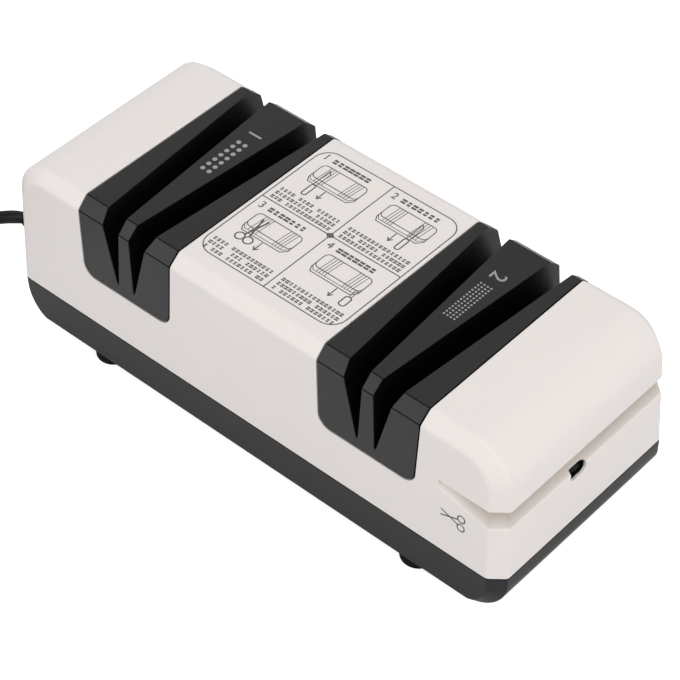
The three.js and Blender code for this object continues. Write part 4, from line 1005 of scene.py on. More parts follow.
def guide_insert():
    insert = guide_form.solid("guide", ARC_STEPS)
    combine(insert, [guide_prism("prism", 0, GUIDE_FOOT, GUIDE_CORNER)], "INTERSECT")
    combine(insert, [slot_cutter(-1, 0), slot_cutter(1, 0)])
    soften(insert, GUIDE_EDGE, 2, 36)
    hollow = guide_form.thinner(GUIDE_SKIN, JOINT + SEAM / 2).solid("hollow", ARC_STEPS)
    inner_prism = guide_prism("inner", -GUIDE_SIDE_WALL, GUIDE_FOOT - WALL - OVERRUN, GUIDE_SIDE_WALL)
    combine(hollow, [inner_prism], "INTERSECT")
    combine(hollow, [slot_cutter(-1, SLOT_WALL), slot_cutter(1, SLOT_WALL)])
    combine(insert, [hollow, wheel_room()])
    return insert


def from_crease(point):
    """Distance to the nearer edge of a guide's front or back chamfer."""
    low = math.hypot(guide_form.face(point.z) - abs(point.y), TOP - CHAMFER_ACROSS - point.z)
    high = math.hypot(guide_form.face(TOP) - CHAMFER_DEEP - abs(point.y), TOP - point.z)
    return min(low, high)


def paint_insert(piece):
    paint(piece, DARK, SLOT_PAINTED_SHADE, EDGE_LINES_AND_GAP_SHADE)
    # Slot faces get painted shade, outer sides get painted shadow of the gap, and chamfer strips get dark
    # edge lines.
    for face in piece.data.polygons:
        steep, on_floor = abs(face.normal.x), face.center.z < SLOT_FLOOR + INK
        if abs(face.center.x) < SLOT_BAND and (steep > SLOT_STEEP or on_floor):
            face.material_index = 1
        elif from_crease(face.center) < CREASE_BAND or steep > SIDE_STEEP:
            face.material_index = 2


insert = guide_insert()
paint_insert(insert)
for name, node, x in (("coarse_insert", "coarse_guide", -GUIDE_X), ("fine_insert", "fine_guide", GUIDE_X)):
    piece = moved(copy_of(insert, name), Matrix.Translation((x, 0, 0)))
    smooth_shaded(piece, 35)
    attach(piece, "body")
    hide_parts(node)
    print(name, len(piece.data.polygons), "faces")
remove(insert)

# %% [markdown]
# ## Upper housing
# The shell starts as the full form. The groove is cut first and its lips are rounded, as in the photograph.
# The windows, the small driver hole and the switch's well follow with a fine edge. Only then is it made
# hollow, so that the fine edges lie on the outside alone. Four posts inside take the screws from below.

# %% Groove cutter
GROOVE_TOP_RISE, GROOVE_FOOT_RISE = 15.4 * MM, 7.9 * MM
GROOVE_DEEP, GROOVE_APEX = 5 * MM, 1.2 * MM
GROOVE_START_IN, GROOVE_START_DEEP, GROOVE_START_HIGH = 27.6 * MM, 0.9 * MM, 2.6 * MM
GROOVE_TOP = SHAFT_Z + GROOVE_TOP_RISE
GROOVE_FOOT = SHAFT_Z + GROOVE_FOOT_RISE
GROOVE_START_X = HALF_LENGTH - GROOVE_START_IN
GROOVE_START_FOOT = GROOVE_TOP - GROOVE_START_HIGH
GROOVE_FALL = (GROOVE_TOP - GROOVE_APEX - GROOVE_FOOT) / GROOVE_DEEP


def mitre(first, second):
    """The way from an outer corner to its inner one, a step in from both walls."""
    middle = (first + second).normalized()
    return middle / middle.dot(first)


def groove_cutter(grow):
    slope = math.hypot(END_ACROSS, CHAMFER_DEEP)
    chamfer_in = Vector((-CHAMFER_DEEP / slope, END_ACROSS / slope))
    face_in, end_in = Vector((0, 1)), Vector((-1, 0))
    end = housing_form.end
    spots = [
        (lambda z: GROOVE_START_X - 2 * grow, 0, face_in, GROOVE_START_DEEP, GROOVE_START_FOOT),
        (lambda z: end(z) - END_ACROSS, 0, mitre(face_in, chamfer_in), GROOVE_DEEP, GROOVE_FOOT),
        (end, CHAMFER_DEEP, mitre(chamfer_in, end_in), GROOVE_DEEP, GROOVE_FOOT),
    ]

    def ring(spot, side):
        x, edge, inward, deep, low = spot

        def at(z, inside, drop=0.0):
            y = side * (housing_form.face(z) - edge - inward.y * inside)
            return (x(z) + inward.x * inside, y, z - drop)

        apex = low + GROOVE_FALL * deep - grow
        inner = at(GROOVE_TOP + grow, deep + grow)
        lower_lip = at(low - grow, -OVERRUN, GROOVE_FALL * OVERRUN)
        return [lower_lip, (inner[0], inner[1], apex), inner, at(GROOVE_TOP + grow, -OVERRUN)]

    front = [ring(spot, -1) for spot in spots]
    back = [ring(spot, 1) for spot in reversed(spots)]
    return skin("groove", front + back)


# %% The groove's painted shade
SHADE_BAND, SHADE_FROM = 0.4 * MM, 0.3 * MM


def shade_groove(piece):
    """A point attribute of painted shade: 0 at the groove's lower lip, 1 at its deepest, and 0 on the rest
    of the shell.
    """
    shade = piece.data.attributes.new("groove_painted_shade", "FLOAT", "POINT")
    for vertex, value in zip(piece.data.vertices, shade.data):
        point = vertex.co
        deep = housing_form.inside(point)
        slant = GROOVE_FOOT + GROOVE_FALL * deep
        in_groove = abs(point.z - slant) < SHADE_BAND or abs(point.z - GROOVE_TOP) < SHADE_BAND
        along = (point.x - GROOVE_START_X) / (housing_form.end(point.z) - END_ACROSS - GROOVE_START_X)
        full = GROOVE_START_DEEP + (GROOVE_DEEP - GROOVE_START_DEEP) * min(1.0, max(0.0, along))
        if in_groove and point.x > GROOVE_START_X - MM and SHADE_FROM < deep < GROOVE_DEEP + MM:
            value.value = min(1.0, math.sqrt(deep / full))


# %% [markdown]
# The driver hole breaks through the groove's slant. Its wall is thin there, so a pocket is taken out behind
# it, and the inside shows black.

# %% Driver hole
HOLE_SHAPE = (
    (-9.1, 9.3), (-3.2, 9.3), (-1.6, 8.7), (-0.9, 7.8), (-0.9, 5.6), (-2.6, 4.1), (-7.8, 4.1), (-9.1, 5.0),
)
HOLE_WALL = 0.9 * MM
HOLE_POCKET = (12 * MM, (-10 * MM, 0.5 * MM), (1.6 * MM, 8.9 * MM))


def hole_cutter():
    outline = [(y * MM, SHAFT_Z + z * MM) for y, z in HOLE_SHAPE]
    ends = (HALF_LENGTH - HOLE_POCKET[0], HALF_LENGTH + OVERRUN)
    return skin("hole", [[(x, y, z) for y, z in outline] for x in ends])


def hole_pocket():
    deep, (left, right), (low, high) = HOLE_POCKET
    return box_piece("pocket", (HALF_LENGTH - deep, left, SHAFT_Z + low),
                     (housing_form.end(SHAFT_Z + high) - HOLE_WALL, right, SHAFT_Z + high))


# %% Switch place
switch_low, switch_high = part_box("power_switch_body")
SWITCH_Y = (switch_low.y + switch_high.y) / 2
SWITCH_ABOVE_SHAFT = 5 * MM
SWITCH_Z = SHAFT_Z + SWITCH_ABOVE_SHAFT
SWITCH_RECESS = 4.2 * MM
FLANGE_WIDE, FLANGE_HIGH, FLANGE_THICK = 15 * MM, 21 * MM, 1.8 * MM
SWITCH_WIDE, SWITCH_HIGH, SWITCH_DEEP = 12.8 * MM, 18.6 * MM, 11.8 * MM
switch_turn = Matrix.Translation((-housing_form.end(SWITCH_Z) + SWITCH_RECESS - SEAM, SWITCH_Y, SWITCH_Z))
switch_turn = switch_turn @ Matrix.Rotation(math.atan(HOUSING_LEAN), 4, "Y")


def switch_box(name, from_x, to_x, wide, high):
    return moved(box_piece(name, (from_x, -wide / 2, -high / 2), (to_x, wide / 2, high / 2)), switch_turn)


# %% Places of the feet and screws
def spans_between(first, second):
    """How far apart two opposite pieces of the frame are, along and across."""
    a = sum(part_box(first), Vector()) / 2
    b = sum(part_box(second), Vector()) / 2
    return abs(a.x - b.x), abs(a.y - b.y)


foot_spans = spans_between("foot_front_left", "foot_back_right")
screw_spans = spans_between("housing_screw_1", "housing_screw_4")


def four_rods(name, radius, low, high, spans=screw_spans):
    return on_grid(name, rod("rod", radius, low, high), WHITE, (2, 2), spans, (0, 0, 0))


# %% The shell
POST_RADIUS, POST_BELOW_JOINT = 4 * MM, 2.8 * MM
POST_FOOT = JOINT - POST_BELOW_JOINT
SCREW_BORE, SCREW_LENGTH = 1.8 * MM, 22 * MM
LIP_ROUND, LIP_ABOVE_JOINT, LIP_IN, CUT_EDGE = 0.7 * MM, 5 * MM, 0.3 * MM, 0.25 * MM


def inlet_notch():
    """Half of it is cut from the housing and half from the tray."""
    low = (-HALF_LENGTH - OVERRUN, inlet_y - NECK_WIDE / 2 - SEAM, JOINT - NECK_HIGH / 2 - SEAM)
    high = (-HALF_LENGTH + 2 * OVERRUN, inlet_y + NECK_WIDE / 2 + SEAM, JOINT + NECK_HIGH / 2 + SEAM)
    return box_piece("notch", low, high)


def window_cutter(x):
    prism = guide_prism("window", WINDOW_GAP, GUIDE_FOOT, GUIDE_CORNER)
    return moved(prism, Matrix.Translation((x, 0, 0)))


def on_lips(point):
    on_end = point.x > 0 and point.z > JOINT + LIP_ABOVE_JOINT
    return on_end and housing_form.inside(point) < LIP_IN


def housing_shell():
    shell = housing_form.solid("housing_shell", ARC_STEPS)
    combine(shell, [groove_cutter(0)])
    soften(shell, LIP_ROUND, 3, 25, on_lips)
    well = switch_box("well", -SWITCH_RECESS - OVERRUN, SEAM, FLANGE_WIDE + 2 * SEAM, FLANGE_HIGH + 2 * SEAM)
    combine(shell, [window_cutter(-GUIDE_X), window_cutter(GUIDE_X), hole_cutter(), well])
    soften(shell, CUT_EDGE, 2, 40)
    hollow = housing_form.thinner(WALL, JOINT - OVERRUN).solid("hollow", ARC_STEPS)
    block = switch_box("block", -SWITCH_RECESS, SEAM + WALL, FLANGE_WIDE + 2 * WALL, FLANGE_HIGH + 2 * WALL)
    combine(hollow, [groove_cutter(WALL), block, four_rods("posts", POST_RADIUS, POST_FOOT, TOP + OVERRUN)])
    opening = switch_box("opening", -MM, WALL + OVERRUN, SWITCH_WIDE + 2 * SEAM, SWITCH_HIGH + 2 * SEAM)
    bores = four_rods("bores", SCREW_BORE, POST_FOOT - OVERRUN, POST_FOOT + SCREW_LENGTH)
    combine(shell, [hollow, opening, inlet_notch(), bores, hole_pocket()])
    return shell


shell = housing_shell()
shade_groove(shell)
paint(smooth_shaded(shell, 35), WHITE)
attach(shell, "body")
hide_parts("upper_housing")
print("housing shell:", len(shell.data.polygons), "faces")

# %% [markdown]
# ## Base tray
# The tray closes the body from below. Its form mirrors the housing's downwards, with a finer edge round its
# bottom. The vents lie under the motor, and four deep recesses hold the housing screws.

# %% The tray
VENT_WIDE, VENT_LONG, VENT_PITCH, VENT_COUNT = 3 * MM, 44 * MM, 7 * MM, 5
SCREW_RECESS, HEAD_RADIUS = 5 * MM, 3 * MM
FOOT_STEM = 2.2 * MM
TRAY_CUT_EDGE = 0.3 * MM
BOSS_RADIUS, BOSS_BELOW_JOINT = 5.6 * MM, 3.1 * MM


def vent_cutters():
    high = UNDERSIDE + 2 * WALL
    slot = box_piece("vent", (-VENT_WIDE / 2, -VENT_LONG / 2, 0), (VENT_WIDE / 2, VENT_LONG / 2, high))
    return on_grid("vents", slot, TRAY, (VENT_COUNT, 1), (VENT_PITCH * (VENT_COUNT - 1), 0), (0, 0, 0))


def tray_shell():
    tray = tray_form.solid("tray_shell", ARC_STEPS)
    recesses = four_rods("recesses", HEAD_RADIUS + SEAM, 0, UNDERSIDE + SCREW_RECESS)
    stems = four_rods("stems", FOOT_STEM + SEAM / 3, 0, UNDERSIDE + 2 * WALL, foot_spans)
    combine(tray, [recesses, vent_cutters(), stems])
    soften(tray, TRAY_CUT_EDGE, 2, 40)
    hollow = tray_form.thinner(WALL, JOINT + OVERRUN).solid("hollow", ARC_STEPS)
    combine(hollow, [four_rods("bosses", BOSS_RADIUS, 0, JOINT - BOSS_BELOW_JOINT)])
    shanks = four_rods("shanks", SCREW_BORE, UNDERSIDE, JOINT)
    combine(tray, [hollow, inlet_notch(), shanks])
    return tray


tray = tray_shell()
paint(smooth_shaded(tray, 35), TRAY)
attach(tray, "body")
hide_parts("base_tray")
print("tray shell:", len(tray.data.polygons), "faces")

# %% [markdown]
# ## Feet and screws
# A foot is a rubber disc with a rounded tread and a barbed stem that snaps through the tray. A housing
# screw has a domed head with a cross recess. Each is turned once, and the grid tree sets four of them.

# %% Feet
foot_low, foot_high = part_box("foot_front_left")
FOOT_RADIUS = (foot_high.x - foot_low.x) / 2
FOOT_HEAD, BARB_IN, BARB_HIGH = 3.3 * MM, 0.3 * MM, 0.6 * MM
HOLLOW_HIGH, HOLLOW_RADIUS, HOLLOW_MOUTH = 0.35 * MM, 3.4 * MM, 3.8 * MM
TREAD_ROUND, DISC_ROUND = 1.2 * MM, 0.5 * MM
disc_top = UNDERSIDE - SEAM
stem_top = UNDERSIDE + WALL + SEAM
foot_profile = [(0, HOLLOW_HIGH), (HOLLOW_RADIUS, HOLLOW_HIGH), (HOLLOW_MOUTH, 0)]
foot_profile += arc((FOOT_RADIUS - TREAD_ROUND, TREAD_ROUND), TREAD_ROUND, -90, 0, 6)
foot_profile += arc((FOOT_RADIUS - DISC_ROUND, disc_top - DISC_ROUND), DISC_ROUND, 0, 90, 4)
foot_profile += [
    (FOOT_STEM, disc_top), (FOOT_STEM, stem_top), (FOOT_HEAD, stem_top),
    (FOOT_HEAD - BARB_IN, stem_top + BARB_HIGH), (FOOT_STEM, foot_high.z), (0, foot_high.z),
]
one_foot = smooth_shaded(turned("foot", foot_profile, 48, axis="Z"), 50)
one_foot.modifiers.clear()
feet = on_grid("rubber_feet", one_foot, RUBBER, (2, 2), foot_spans, (0, 0, 0))
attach(feet, "body")
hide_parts("foot_front_left", "foot_front_right", "foot_back_left", "foot_back_right")


# %% Housing screws
SCREW_RADIUS, SCREW_POINT, HEAD_HIGH, DOME_HIGH = 1.5 * MM, 1.5 * MM, 2 * MM, 1.2 * MM
DOME = ((0, 0), (1.4 * MM, 0.08 * MM), (2.4 * MM, 0.5 * MM))
CROSS_WIDE, CROSS_LONG, CROSS_DEEP = 0.4 * MM, 1.6 * MM, 1.3 * MM


def housing_screw():
    low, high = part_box("housing_screw_1")
    seat = low.z + HEAD_HIGH
    profile = [(radius, low.z + rise) for radius, rise in DOME]
    profile += [(HEAD_RADIUS, low.z + DOME_HIGH), (HEAD_RADIUS, seat), (SCREW_RADIUS, seat)]
    profile += [(SCREW_RADIUS, high.z - SCREW_POINT), (0, high.z)]
    screw = turned("screw", profile, 32, axis="Z")
    cross = [
        box_piece("bar", (-wide, -long, low.z - MM), (wide, long, low.z + CROSS_DEEP))
        for wide, long in ((CROSS_WIDE, CROSS_LONG), (CROSS_LONG, CROSS_WIDE))
    ]
    combine(screw, cross)
    smooth_shaded(screw, 35).modifiers.clear()
    return screw


screws = on_grid("housing_screws", housing_screw(), STEEL, (2, 2), screw_spans, (0, 0, 0))
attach(screws, "body")
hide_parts("housing_screw_1", "housing_screw_2", "housing_screw_3", "housing_screw_4")

# %% [markdown]
# ## Grinding wheels
# A wheel is a ring of grit in resin, turned from one profile, and its rim is broken by a small bevel. The
# grains could be meshes or a bump. A bump is enough, and one rough finish serves all three wheels, because
# they sit deep in the dark of the slots.


# %% Wheels
WHEEL_BORE, WHEEL_BEVEL, WHEEL_SIDES = 5.6 * MM, MM, 96


def stone(name, node):
    low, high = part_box(node)
    radius = (high.z - low.z) / 2
    shoulder = radius - WHEEL_BEVEL
    profile = [
        (WHEEL_BORE, low.x), (shoulder, low.x), (radius, low.x + WHEEL_BEVEL),
        (radius, high.x - WHEEL_BEVEL), (shoulder, high.x), (WHEEL_BORE, high.x),
    ]
    wheel = smooth_shaded(turned(name, profile, WHEEL_SIDES, (0, 0, SHAFT_Z)), 25)
    paint(wheel, GRIT)
    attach(wheel, "shaft")
    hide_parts(node)
    print(name, "radius", round(radius / MM, 1), "mm")


for kind in ("coarse", "fine", "end"):
    stone(f"{kind}_stone", f"{kind}_wheel")

# %% [markdown]
# ## Rocker switch
# The switch sits in a well in the left end. Its frame has soft edges, and its rocker is a shallow V outside
# with rounded edges. The rocker rides on its own body, so its two marks ride with it.

# %% Switch frame
ROCKER_WIDE, ROCKER_HALF, ROCKER_DEEP = 9.4 * MM, 7.2 * MM, 5 * MM
PIVOT_IN, ROCKER_PROUD, ROCKER_WELL = 2 * MM, 0.6 * MM, 9 * MM
ROCKER_TILT = math.radians(9)
FLANGE_EDGE, SWITCH_EDGE, ROCKER_EDGE = 0.6 * MM, 0.15 * MM, 0.5 * MM
TERMINAL_WIDE, TERMINAL_THICK, TERMINAL_LONG, TERMINAL_SPAN = 4.8 * MM, 0.8 * MM, 7 * MM, 9 * MM


def switch_frame():
    reach = math.hypot(ROCKER_HALF, PIVOT_IN + ROCKER_PROUD) + 2 * SEAM
    frame_piece = switch_box("switch_frame", -FLANGE_THICK, 0, FLANGE_WIDE, FLANGE_HIGH)
    soften(frame_piece, FLANGE_EDGE, 3, 40)
    body = switch_box("body", -FLANGE_THICK / 2, SWITCH_DEEP, SWITCH_WIDE, SWITCH_HIGH)
    combine(frame_piece, [body], "UNION")
    well_wide = ROCKER_WIDE + 2 * SEAM
    well = switch_box("well", -FLANGE_THICK - OVERRUN, ROCKER_WELL - FLANGE_THICK, well_wide, 2 * reach)
    combine(frame_piece, [well])
    for side in (-1, 1):
        tab = switch_box("tab", SWITCH_DEEP - MM, SWITCH_DEEP + TERMINAL_LONG, TERMINAL_WIDE, TERMINAL_THICK)
        lift = switch_turn @ Matrix.Translation((0, 0, side * TERMINAL_SPAN / 2)) @ switch_turn.inverted()
        combine(frame_piece, [moved(tab, lift)], "UNION")
    return soften(frame_piece, SWITCH_EDGE, 2, 60)


switch_piece = switch_frame()
paint(smooth_shaded(switch_piece, 35), BLACK)
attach(switch_piece, "body")
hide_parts("power_switch_body")

# %% Rocker
to_pivot = Matrix.Translation((PIVOT_IN - FLANGE_THICK, 0, 0))
rocker_turn = switch_turn @ to_pivot @ Matrix.Rotation(ROCKER_TILT, 4, "Y")
rocker_middle = PIVOT_IN + ROCKER_PROUD
rocker_tip = rocker_middle + ROCKER_HALF * math.tan(ROCKER_TILT)
rocker_outline = [
    (-rocker_middle, 0), (-rocker_tip, ROCKER_HALF), (0, ROCKER_HALF), (ROCKER_DEEP, ROCKER_HALF / 2),
    (ROCKER_DEEP, -ROCKER_HALF / 2), (0, -ROCKER_HALF), (-rocker_tip, -ROCKER_HALF),
]
sides = (-ROCKER_WIDE / 2, ROCKER_WIDE / 2)
rocker = skin("rocker_key", [[(x, y, z) for x, z in rocker_outline] for y in sides])
soften(rocker, ROCKER_EDGE, 3, 25)
moved(rocker, rocker_turn)
paint(smooth_shaded(rocker, 20), BLACK)
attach(rocker, "rocker")
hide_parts("power_switch_rocker")
print("rocker: tilted", round(math.degrees(ROCKER_TILT)), "degrees")

# %% [markdown]
# ## Printing
# Ink is a real thin layer here, so that it has an edge and follows the part in every export. A line of ink
# is a ribbon with mitred corners. A few of them make a frame, a sketch or a mark. Each line of a sketch is
# a hair lower than the one before it, so that no two crossing lines share a surface.


# %% Ink lines
SHARPEST_MITRE = 0.4
LOWER_SHARE, LOWER_STEPS = 0.03, 16


def ribbon(points, width, closed, height):
    """One line of ink along points in mm, with mitred corners."""
    path = [Vector(p) * MM for p in points]
    count = len(path)
    rings = []
    for k, point in enumerate(path):
        before = path[k - 1] if closed or k else None
        after = path[(k + 1) % count] if closed or k < count - 1 else None
        second = ((after if after else point) - (point if after else before)).normalized()
        first = (point - before).normalized() if before else second
        bisector = (first + second).normalized()
        reach = width * MM / 2 / max(SHARPEST_MITRE, bisector.dot(first))
        side = Vector((-bisector.y, bisector.x)) * reach
        left, right = point + side, point - side
        rings.append([(*left, -INK), (*right, -INK), (*right, height), (*left, height)])
    return skin("ink", rings, closed)


def ink(name, strokes, place, finish_material, body="body"):
    """Each stroke is (points in mm, width in mm, closed)."""
    lines = [
        ribbon(points, width, closed, INK * (1 - LOWER_SHARE * (k % LOWER_STEPS)))
        for k, (points, width, closed) in enumerate(strokes)
    ]
    piece = moved(joined(name, lines), place)
    paint(piece, finish_material)
    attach(piece, body)
    return piece


def hoop(x, y, radius, steps=20):
    return arc((x, y), radius, 0, 360 - 360 / steps, steps - 1)


on_top = Matrix.Translation((0, 0, TOP))

# %% [markdown]
# The panel between the guides has a frame with round corners, quartered by two lines with a small dot where
# they cross. The real one is full of lettering. Here each quarter holds a numeral, a plain sketch of a tool
# at its slot and rows of dashes in place of words.

# %% The panel's frame
PANEL_WIDE, PANEL_DEEP = 64, 68
PANEL_Y = 0.4
PANEL_CORNER = 6.5
LINE, DOT_LINE = 0.4, 0.7
DOT_WIDE, DOT_HIGH = 1.3, 1.1
panel_lines = [
    (round_box(0, PANEL_Y, PANEL_WIDE, PANEL_DEEP, PANEL_CORNER, 12), LINE, True),
    ([(-PANEL_WIDE / 2, PANEL_Y), (PANEL_WIDE / 2, PANEL_Y)], LINE, False),
    ([(0, PANEL_Y - PANEL_DEEP / 2), (0, PANEL_Y + PANEL_DEEP / 2)], LINE, False),
    ([(-DOT_WIDE, PANEL_Y), (0, PANEL_Y + DOT_HIGH), (DOT_WIDE, PANEL_Y), (0, PANEL_Y - DOT_HIGH)],
     DOT_LINE, True),
]
ink("panel_frame", panel_lines, on_top, PRINT)
print("panel:", PANEL_WIDE, "by", PANEL_DEEP, "mm")


# %% Sketches of the tools
HAIR, THIN, SHAFT_PEN, ARROW_PEN, HANDLE_PEN, HOOP_PEN, BLADE_PEN = 0.25, 0.35, 0.3, 0.45, 0.5, 0.55, 0.7
HATCH = (-7.6, -6.4, -5.2, -4.0, 4.0, 5.2, 6.4, 7.6)


def block_sketch():
    """The body seen from above, with its front and its base below it."""
    front = [(-10.5, 3.4), (-10.5, -0.6), (-9.4, -2.6), (8.6, -2.6), (10.5, -0.4), (10.5, 3.4)]
    base = [(-10.7, 0.6), (-9.2, -1.4), (8.4, -1.4), (10.7, 0.8)]
    lines = [(round_box(0, 4.2, 21, 7.6, 2), THIN, True), (front, THIN, False), (base, HAIR, False)]
    return lines + [([(x, -1.3), (x, 0.5), (x + 0.6, 7.8)], HAIR, False) for x in HATCH]


def knife_sketch(x):
    edge = [(x - 0.9, 6.4), (x + 0.5, 5.0), (x + 0.5, -2.6), (x - 0.9, -2.6)]
    return [(edge, THIN, True), (round_box(x - 0.2, -6.0, 2.0, 6.4, 0.9), HANDLE_PEN, True)]


def arrow_sketch(x):
    head = [(x - 1.1, -6.2), (x, -7.7), (x + 1.1, -6.2)]
    return [([(x, -3.0), (x, -7.6)], ARROW_PEN, False), (head, ARROW_PEN, False)]


def scissor_sketch(x):
    lines = []
    for side in (-1, 1):
        lines.append(([(x - side * 1.3, 6.2), (x + side * 1.0, -3.6)], BLADE_PEN, False))
        lines.append((hoop(x + side * 1.9, -5.4, 1.8), HOOP_PEN, True))
    return lines


def driver_sketch(x):
    shaft = [(-0.9, 0.4), (0.9, 0.4), (0.45, -0.8), (0.45, -3.4), (-0.45, -3.4), (-0.45, -0.8)]
    handle = round_box(x, -6.0, 2.6, 5.0, 1.1)
    return [([(x + a, b) for a, b in shaft], SHAFT_PEN, True), (handle, HANDLE_PEN, True)]


QUARTER_X, QUARTER_Y = 16, 17
SKETCH_RISE = 1.8
QUARTERS = (
    ("knife_coarse", -QUARTER_X, PANEL_Y + QUARTER_Y, knife_sketch(-5.6) + arrow_sketch(-0.4)),
    ("knife_fine", QUARTER_X, PANEL_Y + QUARTER_Y, knife_sketch(5.6) + arrow_sketch(0.6)),
    ("scissors", -QUARTER_X, PANEL_Y - QUARTER_Y, scissor_sketch(-5.6) + arrow_sketch(1.0)),
    ("driver", QUARTER_X, PANEL_Y - QUARTER_Y, driver_sketch(9.6) + arrow_sketch(3.4)),
)
for name, x, y, lines in QUARTERS:
    place = on_top @ Matrix.Translation((x * MM, (y + SKETCH_RISE) * MM, 0))
    ink(f"sketch_{name}", block_sketch() + lines, place, PRINT)
print("sketches:", len(QUARTERS))


# %% Numerals
NUMERAL_SIZE, NUMERAL_X, NUMERAL_Y = 4.8, -12.6, 13.2


def numeral(text, size, place, finish_material):
    """Plain lettering as a thin mesh; it is made a mesh before it is placed."""
    curve = bpy.data.curves.new("numeral", "FONT")
    curve.body = text
    curve.size = size
    curve.extrude = INK
    curve.align_x, curve.align_y = "CENTER", "CENTER"
    lettered = bpy.data.objects.new("numeral", curve)
    bpy.context.scene.collection.objects.link(lettered)
    bpy.context.view_layer.update()
    graph = bpy.context.evaluated_depsgraph_get()
    made = bpy.data.meshes.new_from_object(lettered.evaluated_get(graph))
    remove(lettered)
    piece = mesh_piece("numeral", [], [])
    piece.data = made
    outwards(piece)
    return paint(moved(piece, place), finish_material)


digits = []
for k, (name, x, y, lines) in enumerate(QUARTERS):
    place = on_top @ Matrix.Translation(((x + NUMERAL_X) * MM, (y + NUMERAL_Y) * MM, 0))
    digits.append(numeral(str(k + 1), NUMERAL_SIZE * MM, place, PRINT))
panel_digits = paint(joined("panel_digits", digits), PRINT)
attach(panel_digits, "body")
print("numerals:", len(panel_digits.data.polygons), "faces")


# %% Rows of dashes
DASH_RISE_SHARE = 0.3
ROW_KINDS = (
    ("heading", (2.0, 2.2), (7, 1), (2.5, 0), (-0.8, 13.2), 1.0, 11),
    ("words", (1.3, 1.5), (16, 3), (1.75, 2.5), (0, -12.4), 0.9, 21),
)


def dash(wide, high):
    """Two thin strokes, one over the other, which read as small lettering."""
    half_wide, half_high = wide * MM / 2, high * MM / 5
    strokes = [
        box_piece("dash", (-half_wide, y * MM - half_high, -INK), (half_wide, y * MM + half_high, INK))
        for y in (-high * DASH_RISE_SHARE, high * DASH_RISE_SHARE)
    ]
    return joined("dash", strokes)


def row_of(name, item, counts, pitch, middle, kept, seed):
    spans = ((counts[0] - 1) * pitch[0] * MM, (counts[1] - 1) * pitch[1] * MM)
    place = (middle[0] * MM, middle[1] * MM, TOP)
    return on_grid(name, item, PRINT, counts, spans, place, broken_rows, Kept=kept, Seed=seed)


rows = []
for step, (name, x, y, lines) in enumerate(QUARTERS):
    for kind, size, counts, pitch, (right, up), kept, seed in ROW_KINDS:
        rows.append(row_of(kind, dash(*size), counts, pitch, (x + right, y + up), kept, seed + step))
panel_rows = paint(joined("panel_rows", rows), PRINT)
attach(panel_rows, "body")

# %% [markdown]
# The wedge of each guide carries a pale mark that reads from the right: a numeral, and dots that are few
# and large for the coarse wheel and many and small for the fine one.

# %% Marks on the wedges
MARK_Y, MARK_SIZE = 22.5, 8.5
DOTS_Y, DOT_SIDES = 6.5, 12


def dots(name, x, radius, counts, pitch):
    item = rod("dot", radius * MM, -INK, INK, DOT_SIDES)
    spans = ((counts[0] - 1) * pitch * MM, (counts[1] - 1) * pitch * MM)
    return on_grid(name, item, PALE_PRINT, counts, spans, (x, DOTS_Y * MM, TOP))


for name, x, text, radius, counts, pitch in (
    ("coarse_mark", -GUIDE_X, "1", 0.95, (2, 7), 3.1), ("fine_mark", GUIDE_X, "2", 0.42, (4, 14), 1.5),
):
    turn = on_top @ Matrix.Translation((x, MARK_Y * MM, 0)) @ Matrix.Rotation(-math.pi / 2, 4, "Z")
    digit = numeral(text, MARK_SIZE * MM, turn, PALE_PRINT)
    mark = paint(joined(name, [digit, dots("dots", x, radius, counts, pitch)]), PALE_PRINT)
    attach(mark, "body")

# %% [markdown]
# A small scissors sign sits on the front face, at the start of the groove, and the rocker has its two
# marks.

# %% Signs
SIGN_X, SIGN_Z = 94.6, 40.9
sign_z = SIGN_Z * MM
sign_up = Vector((0, HOUSING_LEAN, 1)).normalized()
sign_out = Vector((1, 0, 0)).cross(sign_up)
on_front = Matrix((Vector((1, 0, 0)), sign_up, sign_out)).transposed().to_4x4()
on_front.translation = (SIGN_X * MM, -housing_form.face(sign_z), sign_z)
sign_lines = []
for side in (-1, 1):
    sign_lines.append(([(-5.0, side * 1.4), (2.4, -side * 1.2)], 0.5, False))
    sign_lines.append((hoop(3.7, -side * 2.0, 1.5), 0.5, True))
ink("scissors_sign", sign_lines, on_front, PRINT)

ROCKER_MARK = 4 * MM
for name, side, stroke in (
    ("mark_on", -1, ([(0, -1.5), (0, 1.5)], 0.6, False)), ("mark_off", 1, (hoop(0, 0, 1.4), 0.5, True)),
):
    slope = math.atan2(rocker_tip - rocker_middle, ROCKER_HALF) * side
    up = Vector((-math.sin(slope), 0, math.cos(slope)))
    right = Vector((0, -1, 0))
    turn = Matrix((right, up, right.cross(up))).transposed().to_4x4()
    turn.translation = (-rocker_middle - abs(math.tan(slope)) * ROCKER_MARK, 0, side * ROCKER_MARK)
    ink(name, [stroke], rocker_turn @ turn, PALE_PRINT, "rocker")

# %% [markdown]
# ## The pieces that stay as they are in CAD
# The motor, the shaft line and the leads are inside. Their CAD meshes keep their shape and get their
# finish.

# %% Finishes of the CAD pieces
SLOT_FINISH = {
    "grey_plastic": DARK, "black_plastic": BLACK, "rubber": RUBBER, "cord_vinyl": VINYL, "abrasive": GRIT,
    "steel": STEEL, "bronze": BRONZE, "laminations": LAMINATION, "copper": COPPER, "white_plastic": WHITE,
}
for row in frame["record"]["subparts"]:
    node = frame["nodes"][row["node"]]
    if not node.hide_render:
        paint(node, SLOT_FINISH[row["material_slot"]])

# %% [markdown]
# ## Light and floor
# Plain studio light: a pale world that is darker overhead, one broad soft lamp above and two at the sides.
# The floor is white to the camera through a little glow of its own, which the object never feels, and keeps
# a faint contact shadow.

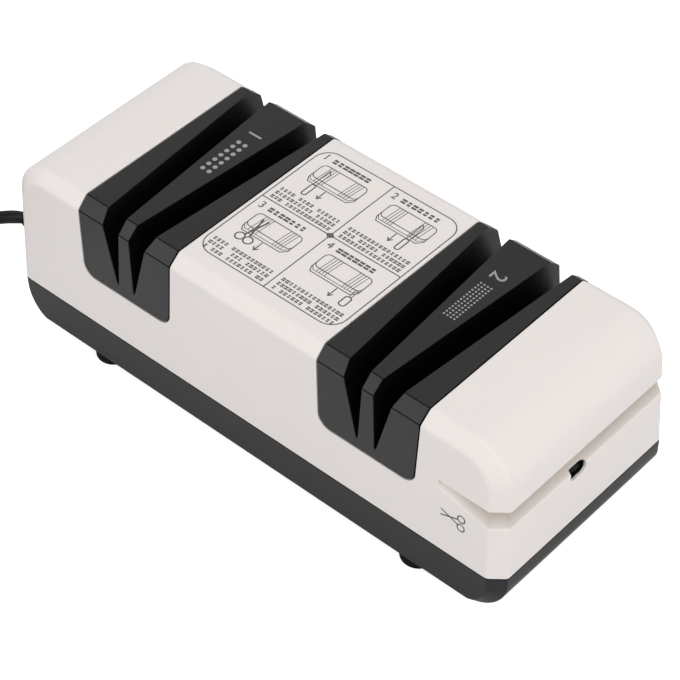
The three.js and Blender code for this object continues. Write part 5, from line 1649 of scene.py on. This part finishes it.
# %% World
HORIZON_LIGHT, ZENITH_LIGHT = 1.0, 0.35
world = bpy.data.worlds.new("studio")
bpy.context.scene.world = world
world.use_nodes = True
background = world.node_tree.nodes["Background"]
set_inputs(background, {"Color": (1, 1, 1, 1)})
direction = add_node(world.node_tree, "ShaderNodeTexCoord")
height = add_node(world.node_tree, "ShaderNodeSeparateXYZ")
level = add_node(world.node_tree, "ShaderNodeMapRange", {"To Min": HORIZON_LIGHT, "To Max": ZENITH_LIGHT})
wire(world.node_tree, [
    (direction, "Generated", height, "Vector"), (height, "Z", level, "Value"),
    (level, "Result", background, "Strength"),
])
print("world:", HORIZON_LIGHT, "at the horizon,", ZENITH_LIGHT, "overhead")

# %% Floor
FLOOR_HALF = 3.0
FLOOR_ALBEDO, FLOOR_ROUGHNESS = 0.78, 0.9
FLOOR_GLOW, FLOOR_MIRRORED = 0.75, 0.05
corners = [(x * FLOOR_HALF, y * FLOOR_HALF, 0) for x, y in ((-1, -1), (1, -1), (1, 1), (-1, 1))]
floor = mesh_piece("floor", corners, [(0, 1, 2, 3)])
floor_white = bpy.data.materials.new("floor_white")
floor_white.use_nodes = True
tree = floor_white.node_tree
shader = tree.nodes["Principled BSDF"]
set_inputs(shader, {
    "Base Color": (FLOOR_ALBEDO, FLOOR_ALBEDO, FLOOR_ALBEDO, 1), "Roughness": FLOOR_ROUGHNESS,
    "Specular IOR Level": 0.0, "Emission Color": (1, 1, 1, 1),
})
path = add_node(tree, "ShaderNodeLightPath")
mirrored = add_node(tree, "ShaderNodeMath", operation="MAXIMUM")
seen = add_node(tree, "ShaderNodeMath", {1: FLOOR_GLOW}, operation="MULTIPLY")
glow = add_node(tree, "ShaderNodeMath", {1: FLOOR_MIRRORED}, operation="MULTIPLY_ADD")
wire(tree, [
    (path, "Is Glossy Ray", mirrored, "Value"), (path, "Is Transmission Ray", mirrored, "Value_001"),
    (path, "Is Camera Ray", seen, "Value"), (mirrored, "Value", glow, "Value"),
    (seen, "Value", glow, "Value_002"), (glow, "Value", shader, "Emission Strength"),
])
paint(floor, floor_white)
print("floor:", 2 * FLOOR_HALF, "m wide")

# %% Lamps
LAMP_AIM = Vector((0, 0, 0.04))
LAMPS = (
    ("top_softbox", (0, 0.05, 1), 1.7, 1.2, 9.5),
    ("left_softbox", (-0.479, -0.739, 0.474), 1.6, 0.8, 3.0),
    ("right_softbox", (0.8, -0.3, 0.45), 1.6, 1.1, 6.6),
)
for name, direction, distance, size, power in LAMPS:
    data = bpy.data.lights.new(name, "AREA")
    data.shape = "SQUARE"
    data.size = size
    data.energy = power
    light = bpy.data.objects.new(name, data)
    away = Vector(direction).normalized()
    facing = away.to_track_quat("Z", "Y").to_matrix().to_4x4()
    light.matrix_world = Matrix.Translation(LAMP_AIM + away * distance) @ facing
    bpy.context.scene.collection.objects.link(light)
bpy.context.scene.view_settings.view_transform = "Standard"
print("lamps:", len(LAMPS))
